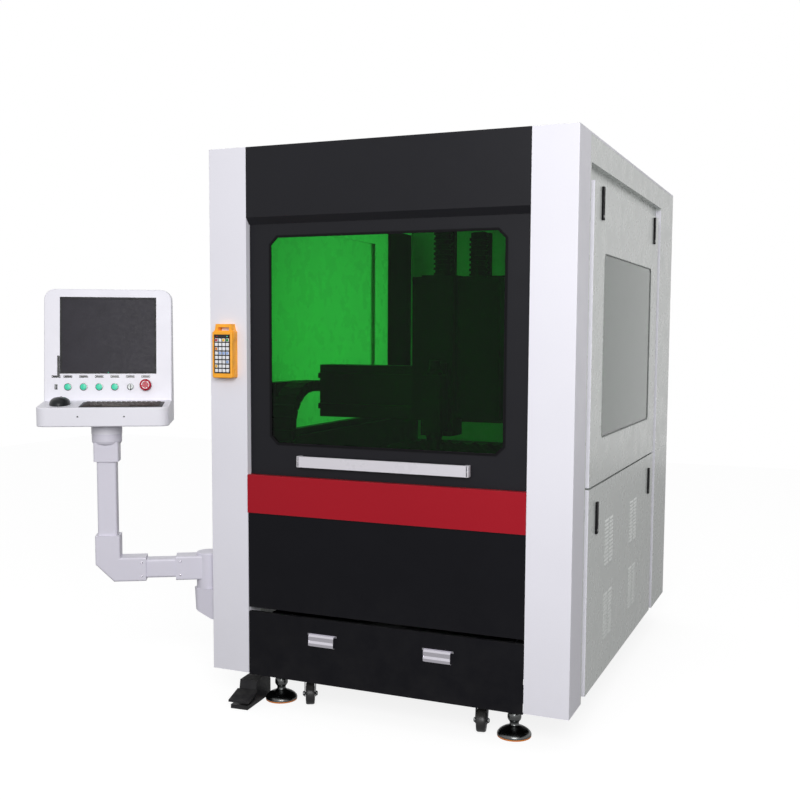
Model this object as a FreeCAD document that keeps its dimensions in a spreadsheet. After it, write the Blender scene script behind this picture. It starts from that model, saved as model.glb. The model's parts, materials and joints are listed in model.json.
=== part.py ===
import FreeCAD, Part
import os
import re
import Sketcher
from FreeCAD import Placement, Rotation, Vector

# An enclosed fiber laser cutting machine with a console on a swivelling arm. Millimetres, +Z up,
# the machine's front looks along -Y, its right-hand side along +X. The row origin is the middle of
# the whole footprint on the floor; every piece is drawn from the cabinet's middle line (X = 0), its
# front plane (Y = 0) and the floor (Z = 0), and its Placement moves it to the row frame.

SIZES = {
    # where the cabinet's middle line and front plane lie in the row frame
    "mid_x": 308.71,
    "front_y": -752.84,
    # cabinet shell
    "cabinet_width": 1266.0,
    "cabinet_depth": 1752.0,
    "cabinet_top": 1900.0,
    "cabinet_bottom": 120.0,
    "skin": 2.5,
    "seat": 0.3,
    "fold": 16.0,
    "bend": 3.0,
    "column_face": 143.5,
    "column_side": 145.0,
    "jamb_depth": 75.0,
    "roof_thick": 7.0,
    "roof_front": 80.0,
    "fascia_bottom": 1670.0,
    "lip_bottom": 1648.0,
    "lip_back": 19.0,
    "band_top": 809.0,
    "band_bottom": 679.0,
    "band_proud": 3.0,
    "ledge_depth": 48.0,
    "lower_panel_bottom": 352.0,
    "lower_panel_set": 3.0,
    # front door and its rails
    "door_front": 21.0,
    "door_leaf": 24.0,
    "door_sheet": 2.0,
    "door_side_gap": 2.0,
    "door_top": 1676.0,
    "window_margin": 78.7,
    "window_low": 917.0,
    "window_high": 1605.0,
    "window_chamfer": 27.0,
    "glass_lap": 20.0,
    "glass_thick": 5.0,
    "door_rail_front": 50.0,
    "door_rail_width": 20.0,
    "door_rail_thick": 14.0,
    "door_rail_low": 830.0,
    "slider_width": 20.0,
    "slider_long": 60.0,
    "slider_low": 880.0,
    "slider_high": 1590.0,
    # pull bar of the front door
    "bar_half": 301.5,
    "bar_low": 844.0,
    "bar_high": 880.0,
    "bar_wall": 2.5,
    "bar_lip": 9.0,
    "bar_cap": 14.0,
    # waste drawer and its pulls
    "drawer_low": 116.0,
    "drawer_high": 337.0,
    "tray_margin": 47.5,
    "tray_low": 170.0,
    "tray_high": 320.0,
    "drawer_back_gap": 25.0,
    "pull_centre": 206.0,
    "pull_wide": 106.0,
    "pull_cup": 92.0,
    "pull_low": 244.0,
    "pull_high": 287.0,
    "pull_proud": 14.0,
    "pull_wall": 1.6,
    "pull_flange": 6.0,
    "pull_foot": 5.0,
    # base frame
    "frame_tube": 60.0,
    "frame_front": 86.0,
    "sill_high": 160.0,
    "ring_low": 640.0,
    "frame_top": 700.0,
    "runner_inset": 60.0,
    "runner_wide": 40.0,
    # machine bed, table and laser head
    "bed_top": 780.0,
    "bed_margin": 145.0,
    "bed_open_front": 260.0,
    "bed_back_margin": 592.0,
    "riser_inset": 10.7,
    "riser_wide": 68.0,
    "riser_top": 900.0,
    "riser_front": 190.0,
    "riser_back_margin": 112.0,
    "guide_inset": 20.0,
    "guide_wide": 30.0,
    "guide_top": 925.0,
    "table_rim": 24.0,
    "table_high": 810.0,
    "slat_low": 785.0,
    "slat_high": 835.0,
    "slat_thick": 3.0,
    "tooth_deep": 14.0,
    "beam_end": 120.0,
    "beam_low": 980.0,
    "beam_high": 1172.0,
    "beam_front": 420.0,
    "beam_thick": 100.0,
    "arm_thick": 34.0,
    "truck_front": 262.0,
    "truck_long": 180.0,
    "truck_lap": 8.0,
    "truck_top": 990.0,
    "post_front": 300.0,
    "post_wide": 38.0,
    "x_rail_wide": 20.0,
    "x_rail_low": 30.0,
    "x_rail_high": 50.0,
    "x_rail_deep": 15.0,
    "carriage_left": -46.0,
    "carriage_right": 300.0,
    "carriage_plate": 20.0,
    "z_box_left": 26.0,
    "z_box_right": 142.0,
    "z_box_low": 940.0,
    "z_box_high": 1486.0,
    "z_box_deep": 95.0,
    "tower_left": 150.0,
    "tower_low": 1000.0,
    "tower_drop": 6.0,
    "tower_deep": 75.0,
    "hose_radius": 27.0,
    "hose_rib": 32.0,
    "hose_pitch": 17.0,
    "rib_gap": 4.0,
    "rib_thick": 8.0,
    "hose_inset": 2.0,
    "hose_first": -10.0,
    "hose_next": 118.5,
    "mast_half": 26.0,
    "hose_clip": 20.0,
    "head_x": 95.0,
    "head_size": 66.0,
    "head_low": 960.0,
    "head_high": 1150.0,
    "nozzle_tip": 850.0,
    "nozzle_end": 3.0,
    "nozzle_collar": 16.0,
    "focus_radius": 24.0,
    "fibre_radius": 18.0,
    "head_standoff": 16.0,
    "head_plate_half": 30.0,
    # cable chain of the long axis
    "chain_gap": 15.0,
    "chain_wide": 80.0,
    "chain_thick": 38.0,
    "chain_spine": 5.0,
    "link_pitch": 36.0,
    "link_gap": 5.0,
    "hook_wide": 30.0,
    "hook_thick": 5.0,
    "chain_radius": 147.0,
    "chain_bend_y": 372.0,
    "chain_tail": 700.0,
    # side frames and side panels
    "recess_depth": 22.0,
    "recess_front": 155.0,
    "rear_stile": 307.0,
    "header": 89.0,
    "access_inset": 75.0,
    "panel_front_gap": 53.0,
    "panel_back_gap": 60.0,
    "panel_top_gap": 47.0,
    "upper_low": 803.0,
    "lower_low": 127.0,
    "lower_high": 797.0,
    "side_window_front": 162.0,
    "side_window_back": 142.5,
    "side_window_below": 146.0,
    "side_window_above": 214.0,
    "side_window_chamfer": 14.0,
    "lock_inset_front": 112.0,
    "lock_inset_back": 102.0,
    "lock_long": 103.0,
    "lock_wide": 22.0,
    "lock_proud": 6.0,
    "upper_lock_low": 1653.0,
    "lower_lock_low": 640.0,
    "slit_long": 84.0,
    "slit_high": 6.0,
    "slit_pitch": 19.0,
    "slit_low": 214.0,
    "slit_next_low": 470.0,
    "slit_field_front": 231.0,
    "slit_field_back": 461.0,
    "slit_field_pitch": 100.0,
    # rear panel
    "spigot_radius": 75.0,
    "spigot_wall": 2.0,
    "spigot_long": 60.0,
    "spigot_height": 540.0,
    "gland_inset": 158.7,
    "rear_slit_inset": 358.7,
    "gland_z": 300.0,
    "gland_flange": 16.0,
    "gland_flange_thick": 8.0,
    "gland_nut": 11.0,
    "gland_long": 22.0,
    "gland_bore": 6.5,
    # feet and castors
    "foot_inset": 205.7,
    "foot_y": 116.0,
    "foot_disc": 50.0,
    "pad_radius": 54.5,
    "pad_thick": 9.0,
    "stud_radius": 8.0,
    "nut_radius": 14.0,
    "nut_thick": 13.0,
    "castor_inset": 316.0,
    "castor_y": 124.0,
    "castor_plate": 90.0,
    "castor_plate_low": 112.0,
    "wheel_radius": 37.5,
    "wheel_wide": 30.0,
    "axle_high": 41.0,
    "axle_radius": 5.0,
    "castor_trail": 26.0,
    "fork_wall": 3.0,
    "fork_gap": 2.0,
    "fork_half": 24.0,
    "fork_crown": 14.0,
    "axle_end": 6.0,
    # console arm: its axis stands off the left column
    "arm_reach": 60.0,
    "arm_back": 72.5,
    "arm_turn": 31.0,
    "turret_radius": 45.0,
    "turret_neck": 32.0,
    "turret_crown": 10.0,
    "tube_tall": 66.0,
    "tube_deep": 60.0,
    "tube_wall": 4.0,
    "tube_round": 8.0,
    "socket_deep": 25.0,
    "arm_height": 462.0,
    "sleeve_tall": 84.0,
    "sleeve_deep": 76.0,
    "sleeve_round": 6.0,
    "bracket_tall": 106.0,
    "bracket_rise": 22.0,
    "bracket_flange": 12.0,
    "turret_round": 5.0,
    "turret_sleeve_end": 115.0,
    "elbow_sleeve_end": 217.5,
    "upright_x": 347.0,
    "elbow_rise": 120.0,
    "elbow_chamfer": 62.0,
    "coupling_sleeve": 63.5,
    "coupling_bowl": 32.0,
    "ring_radius": 51.0,
    "turntable_thick": 33.0,
    # console
    "console_width": 438.0,
    "console_low": 970.0,
    "console_front": 115.0,
    "console_back": 150.0,
    "tray_thick": 64.0,
    "tray_deep": 170.0,
    "tray_slope": 4.7,
    "panel_tall": 393.0,
    "panel_tilt": 7.0,
    "console_corner": 35.0,
    "panel_corner": 38.0,
    "screen_half": 165.0,
    "screen_low": 95.0,
    "screen_tall": 270.0,
    "screen_deep": 10.0,
    "screen_bezel": 7.0,
    "screen_proud": 1.5,
    "screen_sunk": 2.0,
    "button_radius": 10.5,
    "button_bore": 10.9,
    "button_row": 48.0,
    "button_first": -138.0,
    "button_pitch": 53.3,
    "button_proud": 6.0,
    "stop_radius": 20.0,
    "control_deep": 12.0,
    "stop_rise": 6.0,
    "stop_stem": 10.4,
    "key_barrel": 8.0,
    "key_bore": 8.5,
    "key_half": 1.2,
    "keyboard_left": -78.0,
    "keyboard_wide": 275.0,
    "keyboard_front": 14.0,
    "keyboard_deep": 112.0,
    "keyboard_set": 6.0,
    "key_row_pitch": 19.5,
    "key_row_deep": 16.0,
    "mouse_x": -150.0,
    "mouse_wide": 62.0,
    "mouse_long": 104.0,
    "mouse_tall": 33.0,
    # hand-held remote on the left column
    "remote_inset": 76.0,
    "remote_wide": 79.0,
    "remote_low": 1135.5,
    "remote_shoulder": 1293.0,
    "remote_top": 1317.0,
    "remote_deep": 34.0,
    "keypad_wide": 63.0,
    "keypad_tall": 131.0,
    "keypad_low": 1151.0,
    "keypad_set": 3.0,
    "key_size": 10.5,
    "key_pitch_x": 14.4,
    "key_pitch_z": 14.6,
    # foot switch
    "switch_inset": 125.8,
    "switch_y": -37.0,
    "switch_turn": 4.2,
    "switch_wide": 64.0,
    "switch_long": 180.0,
    "switch_high": 80.0,
    "switch_base": 14.0,
    "hood_front": 64.0,
    "pedal_wide": 76.0,
    "pedal_high": 50.0,
    "pivot_drop": 13.0,
    "pivot_radius": 3.2,
    # units inside the base
    "source_inset": 58.0,
    "source_long": 385.0,
    "source_back_gap": 66.0,
    "source_high": 407.0,
    "controls_inset": 20.0,
    "controls_wide": 137.0,
    "controls_front": 300.0,
    "controls_back": 1000.0,
    "controls_high": 620.0,
}

COLUMN_IN = "(cabinet_width/2 - column_face)"
SIDE = "(cabinet_width/2)"
FRONT_HALF = "(cabinet_width/2 - column_face - seat)"
LEAF_HALF = "(cabinet_width/2 - column_face - door_side_gap)"
RECESS_X = "(cabinet_width/2 - recess_depth)"
FRAME_IN = "(cabinet_width/2 - recess_depth - door_sheet)"
FRAME_HALF = "(cabinet_width/2 - recess_depth - door_sheet - seat)"
TUBE_BACK = "(cabinet_depth - frame_front)"
WINDOW_HALF = f"({LEAF_HALF} - window_margin)"
TRAY_HALF = f"({LEAF_HALF} - tray_margin)"
RUNNER_OUT = f"({TRAY_HALF} - runner_inset)"
SOURCE_BACK = f"({TUBE_BACK} - source_back_gap)"
SOURCE_FRONT = f"({SOURCE_BACK} - source_long)"
RISER_OUT = f"({FRAME_HALF} - riser_inset)"
RISER_IN = f"({RISER_OUT} - riser_wide)"
RISER_BACK = "(cabinet_depth - riser_back_margin)"
GUIDE_IN = f"({RISER_IN} + guide_inset)"
GUIDE_OUT = f"({GUIDE_IN} + guide_wide)"
BED_HALF = f"({RISER_IN} - bed_margin)"
BED_BACK = "(cabinet_depth - bed_back_margin)"
BEAM_HALF = f"({GUIDE_IN} - beam_end)"
CHAIN_LEFT = f"(chain_gap - {RISER_IN})"
CHAIN_RIGHT = f"({CHAIN_LEFT} + chain_wide)"
CHAIN_Z = "(bed_top + seat + chain_radius + chain_thick/2)"
CHAIN_TOP = f"({CHAIN_Z} + chain_radius + chain_thick/2)"
ARM_HIGH = f"({CHAIN_TOP} - hook_thick - seat)"
ARM_LOW = f"({ARM_HIGH} - arm_thick)"
RECESS_BACK = "(cabinet_depth - rear_stile)"
RECESS_TOP = "(cabinet_top - header)"
PANEL_FRONT = "(recess_front + panel_front_gap)"
PANEL_BACK = f"({RECESS_BACK} - panel_back_gap)"
UPPER_HIGH = f"({RECESS_TOP} - panel_top_gap)"
FOOT_X = "(cabinet_width/2 - foot_inset)"
GLAND_X = f"(gland_inset - {FRAME_HALF})"
REAR_SLIT = f"({FRAME_HALF} - rear_slit_inset)"
REMOTE_X = f"(-{COLUMN_IN} - remote_inset)"
SWITCH_X = f"(switch_inset - {SIDE})"
CASTOR_X = "(cabinet_width/2 - castor_inset)"
BRACKET_TOP = "(arm_height - sleeve_tall/2 - turret_neck)"
TURRET_TOP = "(arm_height + sleeve_tall/2 + turret_crown)"
ELBOW_TOP = "(arm_height + elbow_rise)"
TURNTABLE_LOW = "(console_low - turntable_thick)"
COUPLING_RING = f"({TURNTABLE_LOW} - coupling_bowl)"
COUPLING_LOW = f"({COUPLING_RING} - coupling_sleeve)"
TRAY_EDGE = "(console_low + tray_thick)"

doc = FreeCAD.newDocument("laser_cutter")
sheet = doc.addObject("Spreadsheet::Sheet", "sizes")
for row, (name, size) in enumerate(SIZES.items(), start=1):
    sheet.set(f"A{row}", name)
    sheet.set(f"B{row}", str(size))
    sheet.setAlias(f"B{row}", name)
doc.recompute()
nodes = []


def formula(text):
    def refer(found):
        word = found.group()
        return f"sizes.{word}" if word in SIZES else word
    return re.sub(r"[a-z]\w*", refer, str(text))


def value(text):
    result = sheet.evalExpression(formula(text))
    return float(getattr(result, "Value", result))


def bind(item, **links):
    for path, text in links.items():
        item.setExpression(path.replace("__", "."), formula(text))


def place(item, x="0", y="0", z="0", turn=None):
    if turn is not None:
        item.Placement = Placement(Vector(), Rotation(Vector(0, 0, 1), value(turn)))
        bind(item, Placement__Rotation__Angle=f"({turn}) * 1 deg")
    bind(item, Placement__Base__x=f"mid_x + ({x})",
         Placement__Base__y=f"front_y + ({y})", Placement__Base__z=z)


def place_on_arm(item):
    place(item, "-cabinet_width/2 - arm_reach", "arm_back", "0", "arm_turn")


def keep(item, label):
    item.Label = label
    nodes.append(item)
    return item


def origin_part(body, role):
    return next(part for part in body.Origin.OriginFeatures if part.Role == role)


def new_body(label):
    body = doc.addObject("PartDesign::Body", label)
    place(body)
    return body


def rect(x1, y1, x2, y2):
    return [(x1, y1), (x2, y1), (x2, y2), (x1, y2)]


def pin(sketch, kind, line, point, place_now, text):
    number = sketch.addConstraint(Sketcher.Constraint(kind, -1, 1, line, point, place_now))
    sketch.setExpression(f"Constraints[{number}]", formula(text))


def draw_polygon(sketch, corners):
    first = sketch.GeometryCount
    places = [(value(x), value(y)) for x, y in corners]
    for start, end in zip(places, places[1:] + places[:1]):
        sketch.addGeometry(Part.LineSegment(Vector(*start, 0), Vector(*end, 0)), False)
    for number, (x, y) in enumerate(corners):
        line = first + number
        following = first + (number + 1) % len(corners)
        sketch.addConstraint(Sketcher.Constraint("Coincident", line, 2, following, 1))
        pin(sketch, "DistanceX", line, 1, places[number][0], x)
        pin(sketch, "DistanceY", line, 1, places[number][1], y)


def draw_circle(sketch, x, y, radius):
    line = sketch.GeometryCount
    centre = Vector(value(x), value(y), 0)
    sketch.addGeometry(Part.Circle(centre, Vector(0, 0, 1), value(radius)), False)
    pin(sketch, "DistanceX", line, 3, centre.x, x)
    pin(sketch, "DistanceY", line, 3, centre.y, y)
    number = sketch.addConstraint(Sketcher.Constraint("Radius", line, value(radius)))
    sketch.setExpression(f"Constraints[{number}]", formula(radius))


def draw(body, role, loops, offset):
    # a loop is a list of corners, or (x, y, radius) for a circle
    sketch = body.newObject("Sketcher::SketchObject", "outline")
    sketch.AttachmentSupport = [(origin_part(body, role), "")]
    sketch.MapMode = "FlatFace"
    bind(sketch, AttachmentOffset__Base__z=offset)
    for loop in loops:
        if isinstance(loop, tuple):
            draw_circle(sketch, *loop)
        else:
            draw_polygon(sketch, loop)
    return sketch


def add(body, role, loops, low, high):
    # pads the loops from low to high along the plane's own axis
    along_y = role == "XZ_Plane"
    sketch = draw(body, role, loops, f"-({low})" if along_y else low)
    pad = body.newObject("PartDesign::Pad", "pad")
    pad.Profile = sketch
    pad.Reversed = along_y
    bind(pad, Length=f"({high}) - ({low})")
    body.Tip = pad
    return pad


def cut(body, role, loops, low, high):
    along_y = role == "XZ_Plane"
    doc.recompute()
    before = body.Shape.Volume
    sketch = draw(body, role, loops, f"-({low})" if along_y else high)
    pocket = body.newObject("PartDesign::Pocket", "pocket")
    pocket.Profile = sketch
    bind(pocket, Length=f"({high}) - ({low})")
    body.Tip = pocket
    doc.recompute()
    if body.Shape.Volume > before - 1e-3:
        raise RuntimeError(f"a pocket of {body.Name} cuts nothing")
    return pocket


def repeat(body, feature, axis, pitch, count, axis_2=None, pitch_2=None, count_2=1):
    pattern = body.newObject("PartDesign::LinearPattern", "pattern")
    pattern.Originals = [feature]
    pattern.Direction = (origin_part(body, axis), [""])
    pattern.Mode = "Spacing"
    bind(pattern, Offset=pitch)
    pattern.Occurrences = count
    if axis_2:
        pattern.Direction2 = (origin_part(body, axis_2), [""])
        pattern.Mode2 = "Spacing"
        bind(pattern, Offset2=pitch_2)
        pattern.Occurrences2 = count_2
    body.Tip = pattern
    return pattern


def turned(body, corners, axis="V_Axis", centre="0"):
    # revolves (radius, height) corners about an upright of the body, or about its X with H_Axis
    sketch = draw(body, "XZ_Plane", [corners], "0")
    bind(sketch, AttachmentOffset__Base__x=centre)
    turning = body.newObject("PartDesign::Revolution", "turning")
    turning.Profile = sketch
    turning.ReferenceAxis = (sketch, [axis])
    turning.Angle = 360
    body.Tip = turning
    return turning


def spans(edge, axis):
    box = edge.BoundBox
    lengths = {"x": box.XLength, "y": box.YLength, "z": box.ZLength}
    across = max(length for name, length in lengths.items() if name != axis)
    return lengths[axis] > 0.5 and across < 0.01


def at(edge, **places):
    middle = edge.BoundBox.Center
    return all(abs(getattr(middle, axis) - value(text)) < 0.05 for axis, text in places.items())


def soften(body, radius, choose, kind="Fillet"):
    doc.recompute()
    base = body.Tip
    edges = [f"Edge{number}" for number, edge in enumerate(base.Shape.Edges, start=1)
             if choose(edge)]
    if not edges:
        raise RuntimeError(f"no edge of {body.Name} to round")
    feature = body.newObject(f"PartDesign::{kind}", kind.lower())
    feature.Base = (base, edges)
    bind(feature, **{"Radius" if kind == "Fillet" else "Size": radius})
    body.Tip = feature
    return feature


def block(x, y, z):
    box = doc.addObject("Part::Box", "block")
    bind(box, Length=f"({x[1]}) - ({x[0]})", Width=f"({y[1]}) - ({y[0]})",
         Height=f"({z[1]}) - ({z[0]})", Placement__Base__x=x[0],
         Placement__Base__y=y[0], Placement__Base__z=z[0])
    return box


def upright(x, y, low, high, radius):
    cylinder = doc.addObject("Part::Cylinder", "upright")
    bind(cylinder, Radius=radius, Height=f"({high}) - ({low})", Placement__Base__x=x,
         Placement__Base__y=y, Placement__Base__z=low)
    return cylinder


def plate(label, x, y, z):
    box = block(x, y, z)
    bind(box, Placement__Base__x=f"mid_x + ({x[0]})", Placement__Base__y=f"front_y + ({y[0]})")
    return keep(box, label)


def weld(label, pieces):
    joined = doc.addObject("Part::MultiFuse", label)
    joined.Shapes = pieces
    place(joined)
    return keep(joined, label)


def mirrored(source, across_depth=False):
    copy = doc.addObject("Part::Mirroring", "mirrored")
    copy.Source = source
    if across_depth:
        copy.Normal = Vector(0, 1, 0)
        bind(copy, Base__y="front_y + cabinet_depth/2")
    else:
        copy.Normal = Vector(1, 0, 0)
        bind(copy, Base__x="mid_x")
    return copy


def together(label, pieces):
    group = doc.addObject("Part::Compound", label)
    group.Links = pieces
    return group


def at_four_corners(label, source):
    pair = together("front_pair", [source, mirrored(source)])
    return keep(together(label, [pair, mirrored(pair, across_depth=True)]), label)


def make_columns():
    # folded sheet: face, side, jamb beside the door, return into the side recess, welded cap
    body = new_body("column_right")
    inner, outer = COLUMN_IN, SIDE
    profile = [(inner, "0"), (outer, "0"), (outer, "column_side"), (RECESS_X, "column_side"),
               (RECESS_X, "column_side - skin"), (f"{outer} - skin", "column_side - skin"),
               (f"{outer} - skin", "skin"), (f"{inner} + skin", "skin"),
               (f"{inner} + skin", "jamb_depth"), (inner, "jamb_depth")]
    add(body, "XY_Plane", [profile], "cabinet_bottom", "cabinet_top")
    cap = rect(f"{inner} + skin/2", "skin/2", f"{outer} - skin/2", "column_side - skin/2")
    add(body, "XY_Plane", [cap], "cabinet_top - skin", "cabinet_top")
    soften(body, "bend", lambda edge: spans(edge, "z") and at(edge, x=SIDE, y="0"))
    keep(body, "column_right")
    keep(mirrored(body), "column_left")


def make_fascia():
    body = new_body("top_fascia")
    profile = [("0", "cabinet_top"), ("0", "fascia_bottom"), ("lip_back", "lip_bottom"),
               ("lip_back", "lip_bottom + 1.4*skin"), ("skin", "fascia_bottom + skin/2"),
               ("skin", "cabinet_top - skin"), ("fold", "cabinet_top - skin"),
               ("fold", "cabinet_top")]
    add(body, "YZ_Plane", [profile], f"-{FRONT_HALF}", FRONT_HALF)
    keep(body, "top_fascia")


def make_band():
    # its top is the ledge that the door comes down on
    body = new_body("red_band")
    front, back = "-band_proud", "ledge_depth"
    profile = [(front, "band_bottom"), (front, "band_top"), (back, "band_top"),
               (back, "band_top - skin"), (f"{front} + skin", "band_top - skin"),
               (f"{front} + skin", "band_bottom + skin"), ("fold", "band_bottom + skin"),
               ("fold", "band_bottom")]
    add(body, "YZ_Plane", [profile], f"-{FRONT_HALF}", FRONT_HALF)
    soften(body, "bend/2", lambda edge: spans(edge, "x") and at(edge, y=front, z="band_top"))
    keep(body, "red_band")


def make_lower_panel():
    body = new_body("lower_front_panel")
    low, high = "lower_panel_bottom", "(band_bottom - seat)"
    front, inside, back = "lower_panel_set", "(lower_panel_set + skin)", "(lower_panel_set + fold)"
    profile = [(front, low), (front, high), (back, high), (back, f"{high} - skin"),
               (inside, f"{high} - skin"), (inside, f"{low} + skin"), (back, f"{low} + skin"),
               (back, low)]
    add(body, "YZ_Plane", [profile], f"-{FRONT_HALF}", FRONT_HALF)
    keep(body, "lower_front_panel")


def make_roof():
    # a lid with a folded edge; its tongue reaches between the columns, behind the door's slot
    body = new_body("roof_panel")
    shoulder = "(column_side + seat)"
    low = "cabinet_top - roof_thick"

    def lid(inset):
        front, side, tongue = f"roof_front + {inset}", f"({SIDE} - {inset})", f"({FRONT_HALF} - {inset})"
        back = f"cabinet_depth - {inset}"
        return [(f"-{tongue}", front), (tongue, front), (tongue, f"{shoulder} + {inset}"),
                (side, f"{shoulder} + {inset}"), (side, back), (f"-{side}", back),
                (f"-{side}", f"{shoulder} + {inset}"), (f"-{tongue}", f"{shoulder} + {inset}")]

    add(body, "XY_Plane", [lid("0")], low, "cabinet_top")
    cut(body, "XY_Plane", [lid("skin")], f"{low} - 1", "cabinet_top - skin")
    keep(body, "roof_panel")


def make_side_frames():
    # header, rear stile and a recessed field with two access openings; hollow behind
    body = new_body("side_frame_right")
    front, back = "(column_side + seat)", "cabinet_depth"
    top = "(cabinet_top - roof_thick - seat)"
    add(body, "YZ_Plane", [rect(front, "cabinet_bottom", back, top)], FRAME_IN, SIDE)
    cut(body, "YZ_Plane", [rect("recess_front", "cabinet_bottom - 1", RECESS_BACK, RECESS_TOP)],
        RECESS_X, f"{SIDE} + 1")
    y1, y2 = f"({PANEL_FRONT} + access_inset)", f"({PANEL_BACK} - access_inset)"
    upper = rect(y1, "upper_low + access_inset", y2, f"{UPPER_HIGH} - access_inset")
    lower = rect(y1, "lower_low + access_inset", y2, "lower_high - access_inset")
    cut(body, "YZ_Plane", [upper, lower], f"{FRAME_IN} - 1", f"{RECESS_X} + 1")
    header = rect(f"{front} + skin", f"{RECESS_TOP} + skin", f"{back} - skin", f"{top} - skin")
    stile = rect(f"{RECESS_BACK} + skin", "cabinet_bottom + skin", f"{back} - skin",
                 f"{RECESS_TOP} - fold")
    cut(body, "YZ_Plane", [header, stile], f"{FRAME_IN} - 1", f"{SIDE} - skin")
    seam = rect(f"{RECESS_BACK} - 1", "(upper_low + lower_high)/2 - 1", "cabinet_depth + 1",
                "(upper_low + lower_high)/2 + 1")
    cut(body, "YZ_Plane", [seam], f"{SIDE} - 1", f"{SIDE} + 1")
    keep(body, "side_frame_right")
    keep(mirrored(body), "side_frame_left")


def lock_plates(body, low):
    # the flat housings of the two paddle locks
    for middle in (f"({PANEL_FRONT} + lock_inset_front)", f"({PANEL_BACK} - lock_inset_back)"):
        outline = rect(f"{middle} - lock_wide/2", low, f"{middle} + lock_wide/2",
                       f"{low} + lock_long")
        add(body, "YZ_Plane", [outline], f"{SIDE} - door_sheet/2", f"{SIDE} + lock_proud")
    soften(body, "lock_proud - 1", lambda edge: spans(edge, "z") and
           at(edge, x=f"{SIDE} + lock_proud"))


def panel_pan(label, low, high):
    body = new_body(label)
    inside = f"{RECESS_X} + seat"
    add(body, "YZ_Plane", [rect(PANEL_FRONT, low, PANEL_BACK, high)], inside, SIDE)
    hollow = rect(f"{PANEL_FRONT} + door_sheet", f"{low} + door_sheet", f"{PANEL_BACK} - door_sheet",
                  f"{high} - door_sheet")
    cut(body, "YZ_Plane", [hollow], f"{inside} - 1", f"{SIDE} - door_sheet")
    return body


def make_upper_panels():
    # the right panel has a window, the left one is plain
    plain = panel_pan("plain_panel", "upper_low", UPPER_HIGH)
    lock_plates(plain, "upper_lock_low")
    keep(mirrored(plain), "upper_panel_left")
    body = panel_pan("upper_panel_right", "upper_low", UPPER_HIGH)
    y1, y2 = f"({PANEL_FRONT} + side_window_front)", f"({PANEL_BACK} - side_window_back)"
    z1, z2 = "(upper_low + side_window_below)", f"({UPPER_HIGH} - side_window_above)"
    c = "side_window_chamfer"
    window = [(f"{y1} + {c}", z1), (f"{y2} - {c}", z1), (y2, f"{z1} + {c}"), (y2, f"{z2} - {c}"),
              (f"{y2} - {c}", z2), (f"{y1} + {c}", z2), (y1, f"{z2} - {c}"), (y1, f"{z1} + {c}")]
    cut(body, "YZ_Plane", [window], f"{SIDE} - 2*door_sheet", f"{SIDE} + 1")
    lock_plates(body, "upper_lock_low")
    keep(body, "upper_panel_right")
    glass_out = f"{SIDE} - door_sheet - seat"
    plate("side_window_right", (f"{glass_out} - glass_thick", glass_out),
          (f"{y1} - glass_lap", f"{y2} + glass_lap"), (f"{z1} - glass_lap", f"{z2} + glass_lap"))


def make_lower_panels():
    # four fields of louvre slits, each two slits wide
    body = panel_pan("lower_panel_right", "lower_low", "lower_high")
    first, third = f"{PANEL_FRONT} + slit_field_front", f"{PANEL_BACK} - slit_field_back"
    starts = [f"({field} + {step}*slit_field_pitch)" for field in (first, third) for step in (0, 1)]
    rows = 12
    slits = [rect(y, low, f"{y} + slit_long", f"{low} + slit_high")
             for low in ("slit_low", "slit_next_low") for y in starts]
    slit = cut(body, "YZ_Plane", slits, f"{SIDE} - 2*door_sheet", f"{SIDE} + 1")
    repeat(body, slit, "Z_Axis", "slit_pitch", rows)
    lock_plates(body, "lower_lock_low")
    keep(body, "lower_panel_right")
    keep(mirrored(body), "lower_panel_left")


def make_rear_panel():
    # louvres at both sides, a duct spigot and a cable gland
    body = new_body("rear_panel")
    low, high = "cabinet_bottom", "(cabinet_top - roof_thick - seat)"
    back = "cabinet_depth"
    add(body, "XZ_Plane", [rect(f"-{FRAME_HALF}", low, FRAME_HALF, high)], f"{back} - fold", back)
    hollow = rect(f"-{FRAME_HALF} + skin", f"{low} + skin", f"{FRAME_HALF} - skin",
                  f"{high} - skin")
    cut(body, "XZ_Plane", [hollow], f"{back} - fold - 1", f"{back} - skin")
    seam = rect(f"-{FRAME_HALF} - 1", "(upper_low + lower_high)/2 - 1", f"{FRAME_HALF} + 1",
                "(upper_low + lower_high)/2 + 1")
    cut(body, "XZ_Plane", [seam], f"{back} - 1", f"{back} + 1")
    slits = [rect(x, "slit_low", f"{x} + 2*slit_long", "slit_low + slit_high")
             for x in (f"(-{REAR_SLIT} - 2*slit_long)", REAR_SLIT)]
    rows = 10
    slit = cut(body, "XZ_Plane", slits, f"{back} - 2*skin", f"{back} + 1")
    repeat(body, slit, "Z_Axis", "slit_pitch", rows)
    add(body, "XZ_Plane", [("0", "spigot_height", "spigot_radius")], f"{back} - skin",
        f"{back} + spigot_long")
    cut(body, "XZ_Plane", [("0", "spigot_height", "spigot_radius - spigot_wall")],
        f"{back} - 2*fold", f"{back} + spigot_long + 1")
    add(body, "XZ_Plane", [(GLAND_X, "gland_z", "gland_flange")], f"{back} - skin",
        f"{back} + gland_flange_thick")
    add(body, "XZ_Plane", [(GLAND_X, "gland_z", "gland_nut")], back, f"{back} + gland_long")
    cut(body, "XZ_Plane", [(GLAND_X, "gland_z", "gland_bore")], f"{back} - fold",
        f"{back} + gland_long + 1")
    keep(body, "rear_panel")


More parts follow.
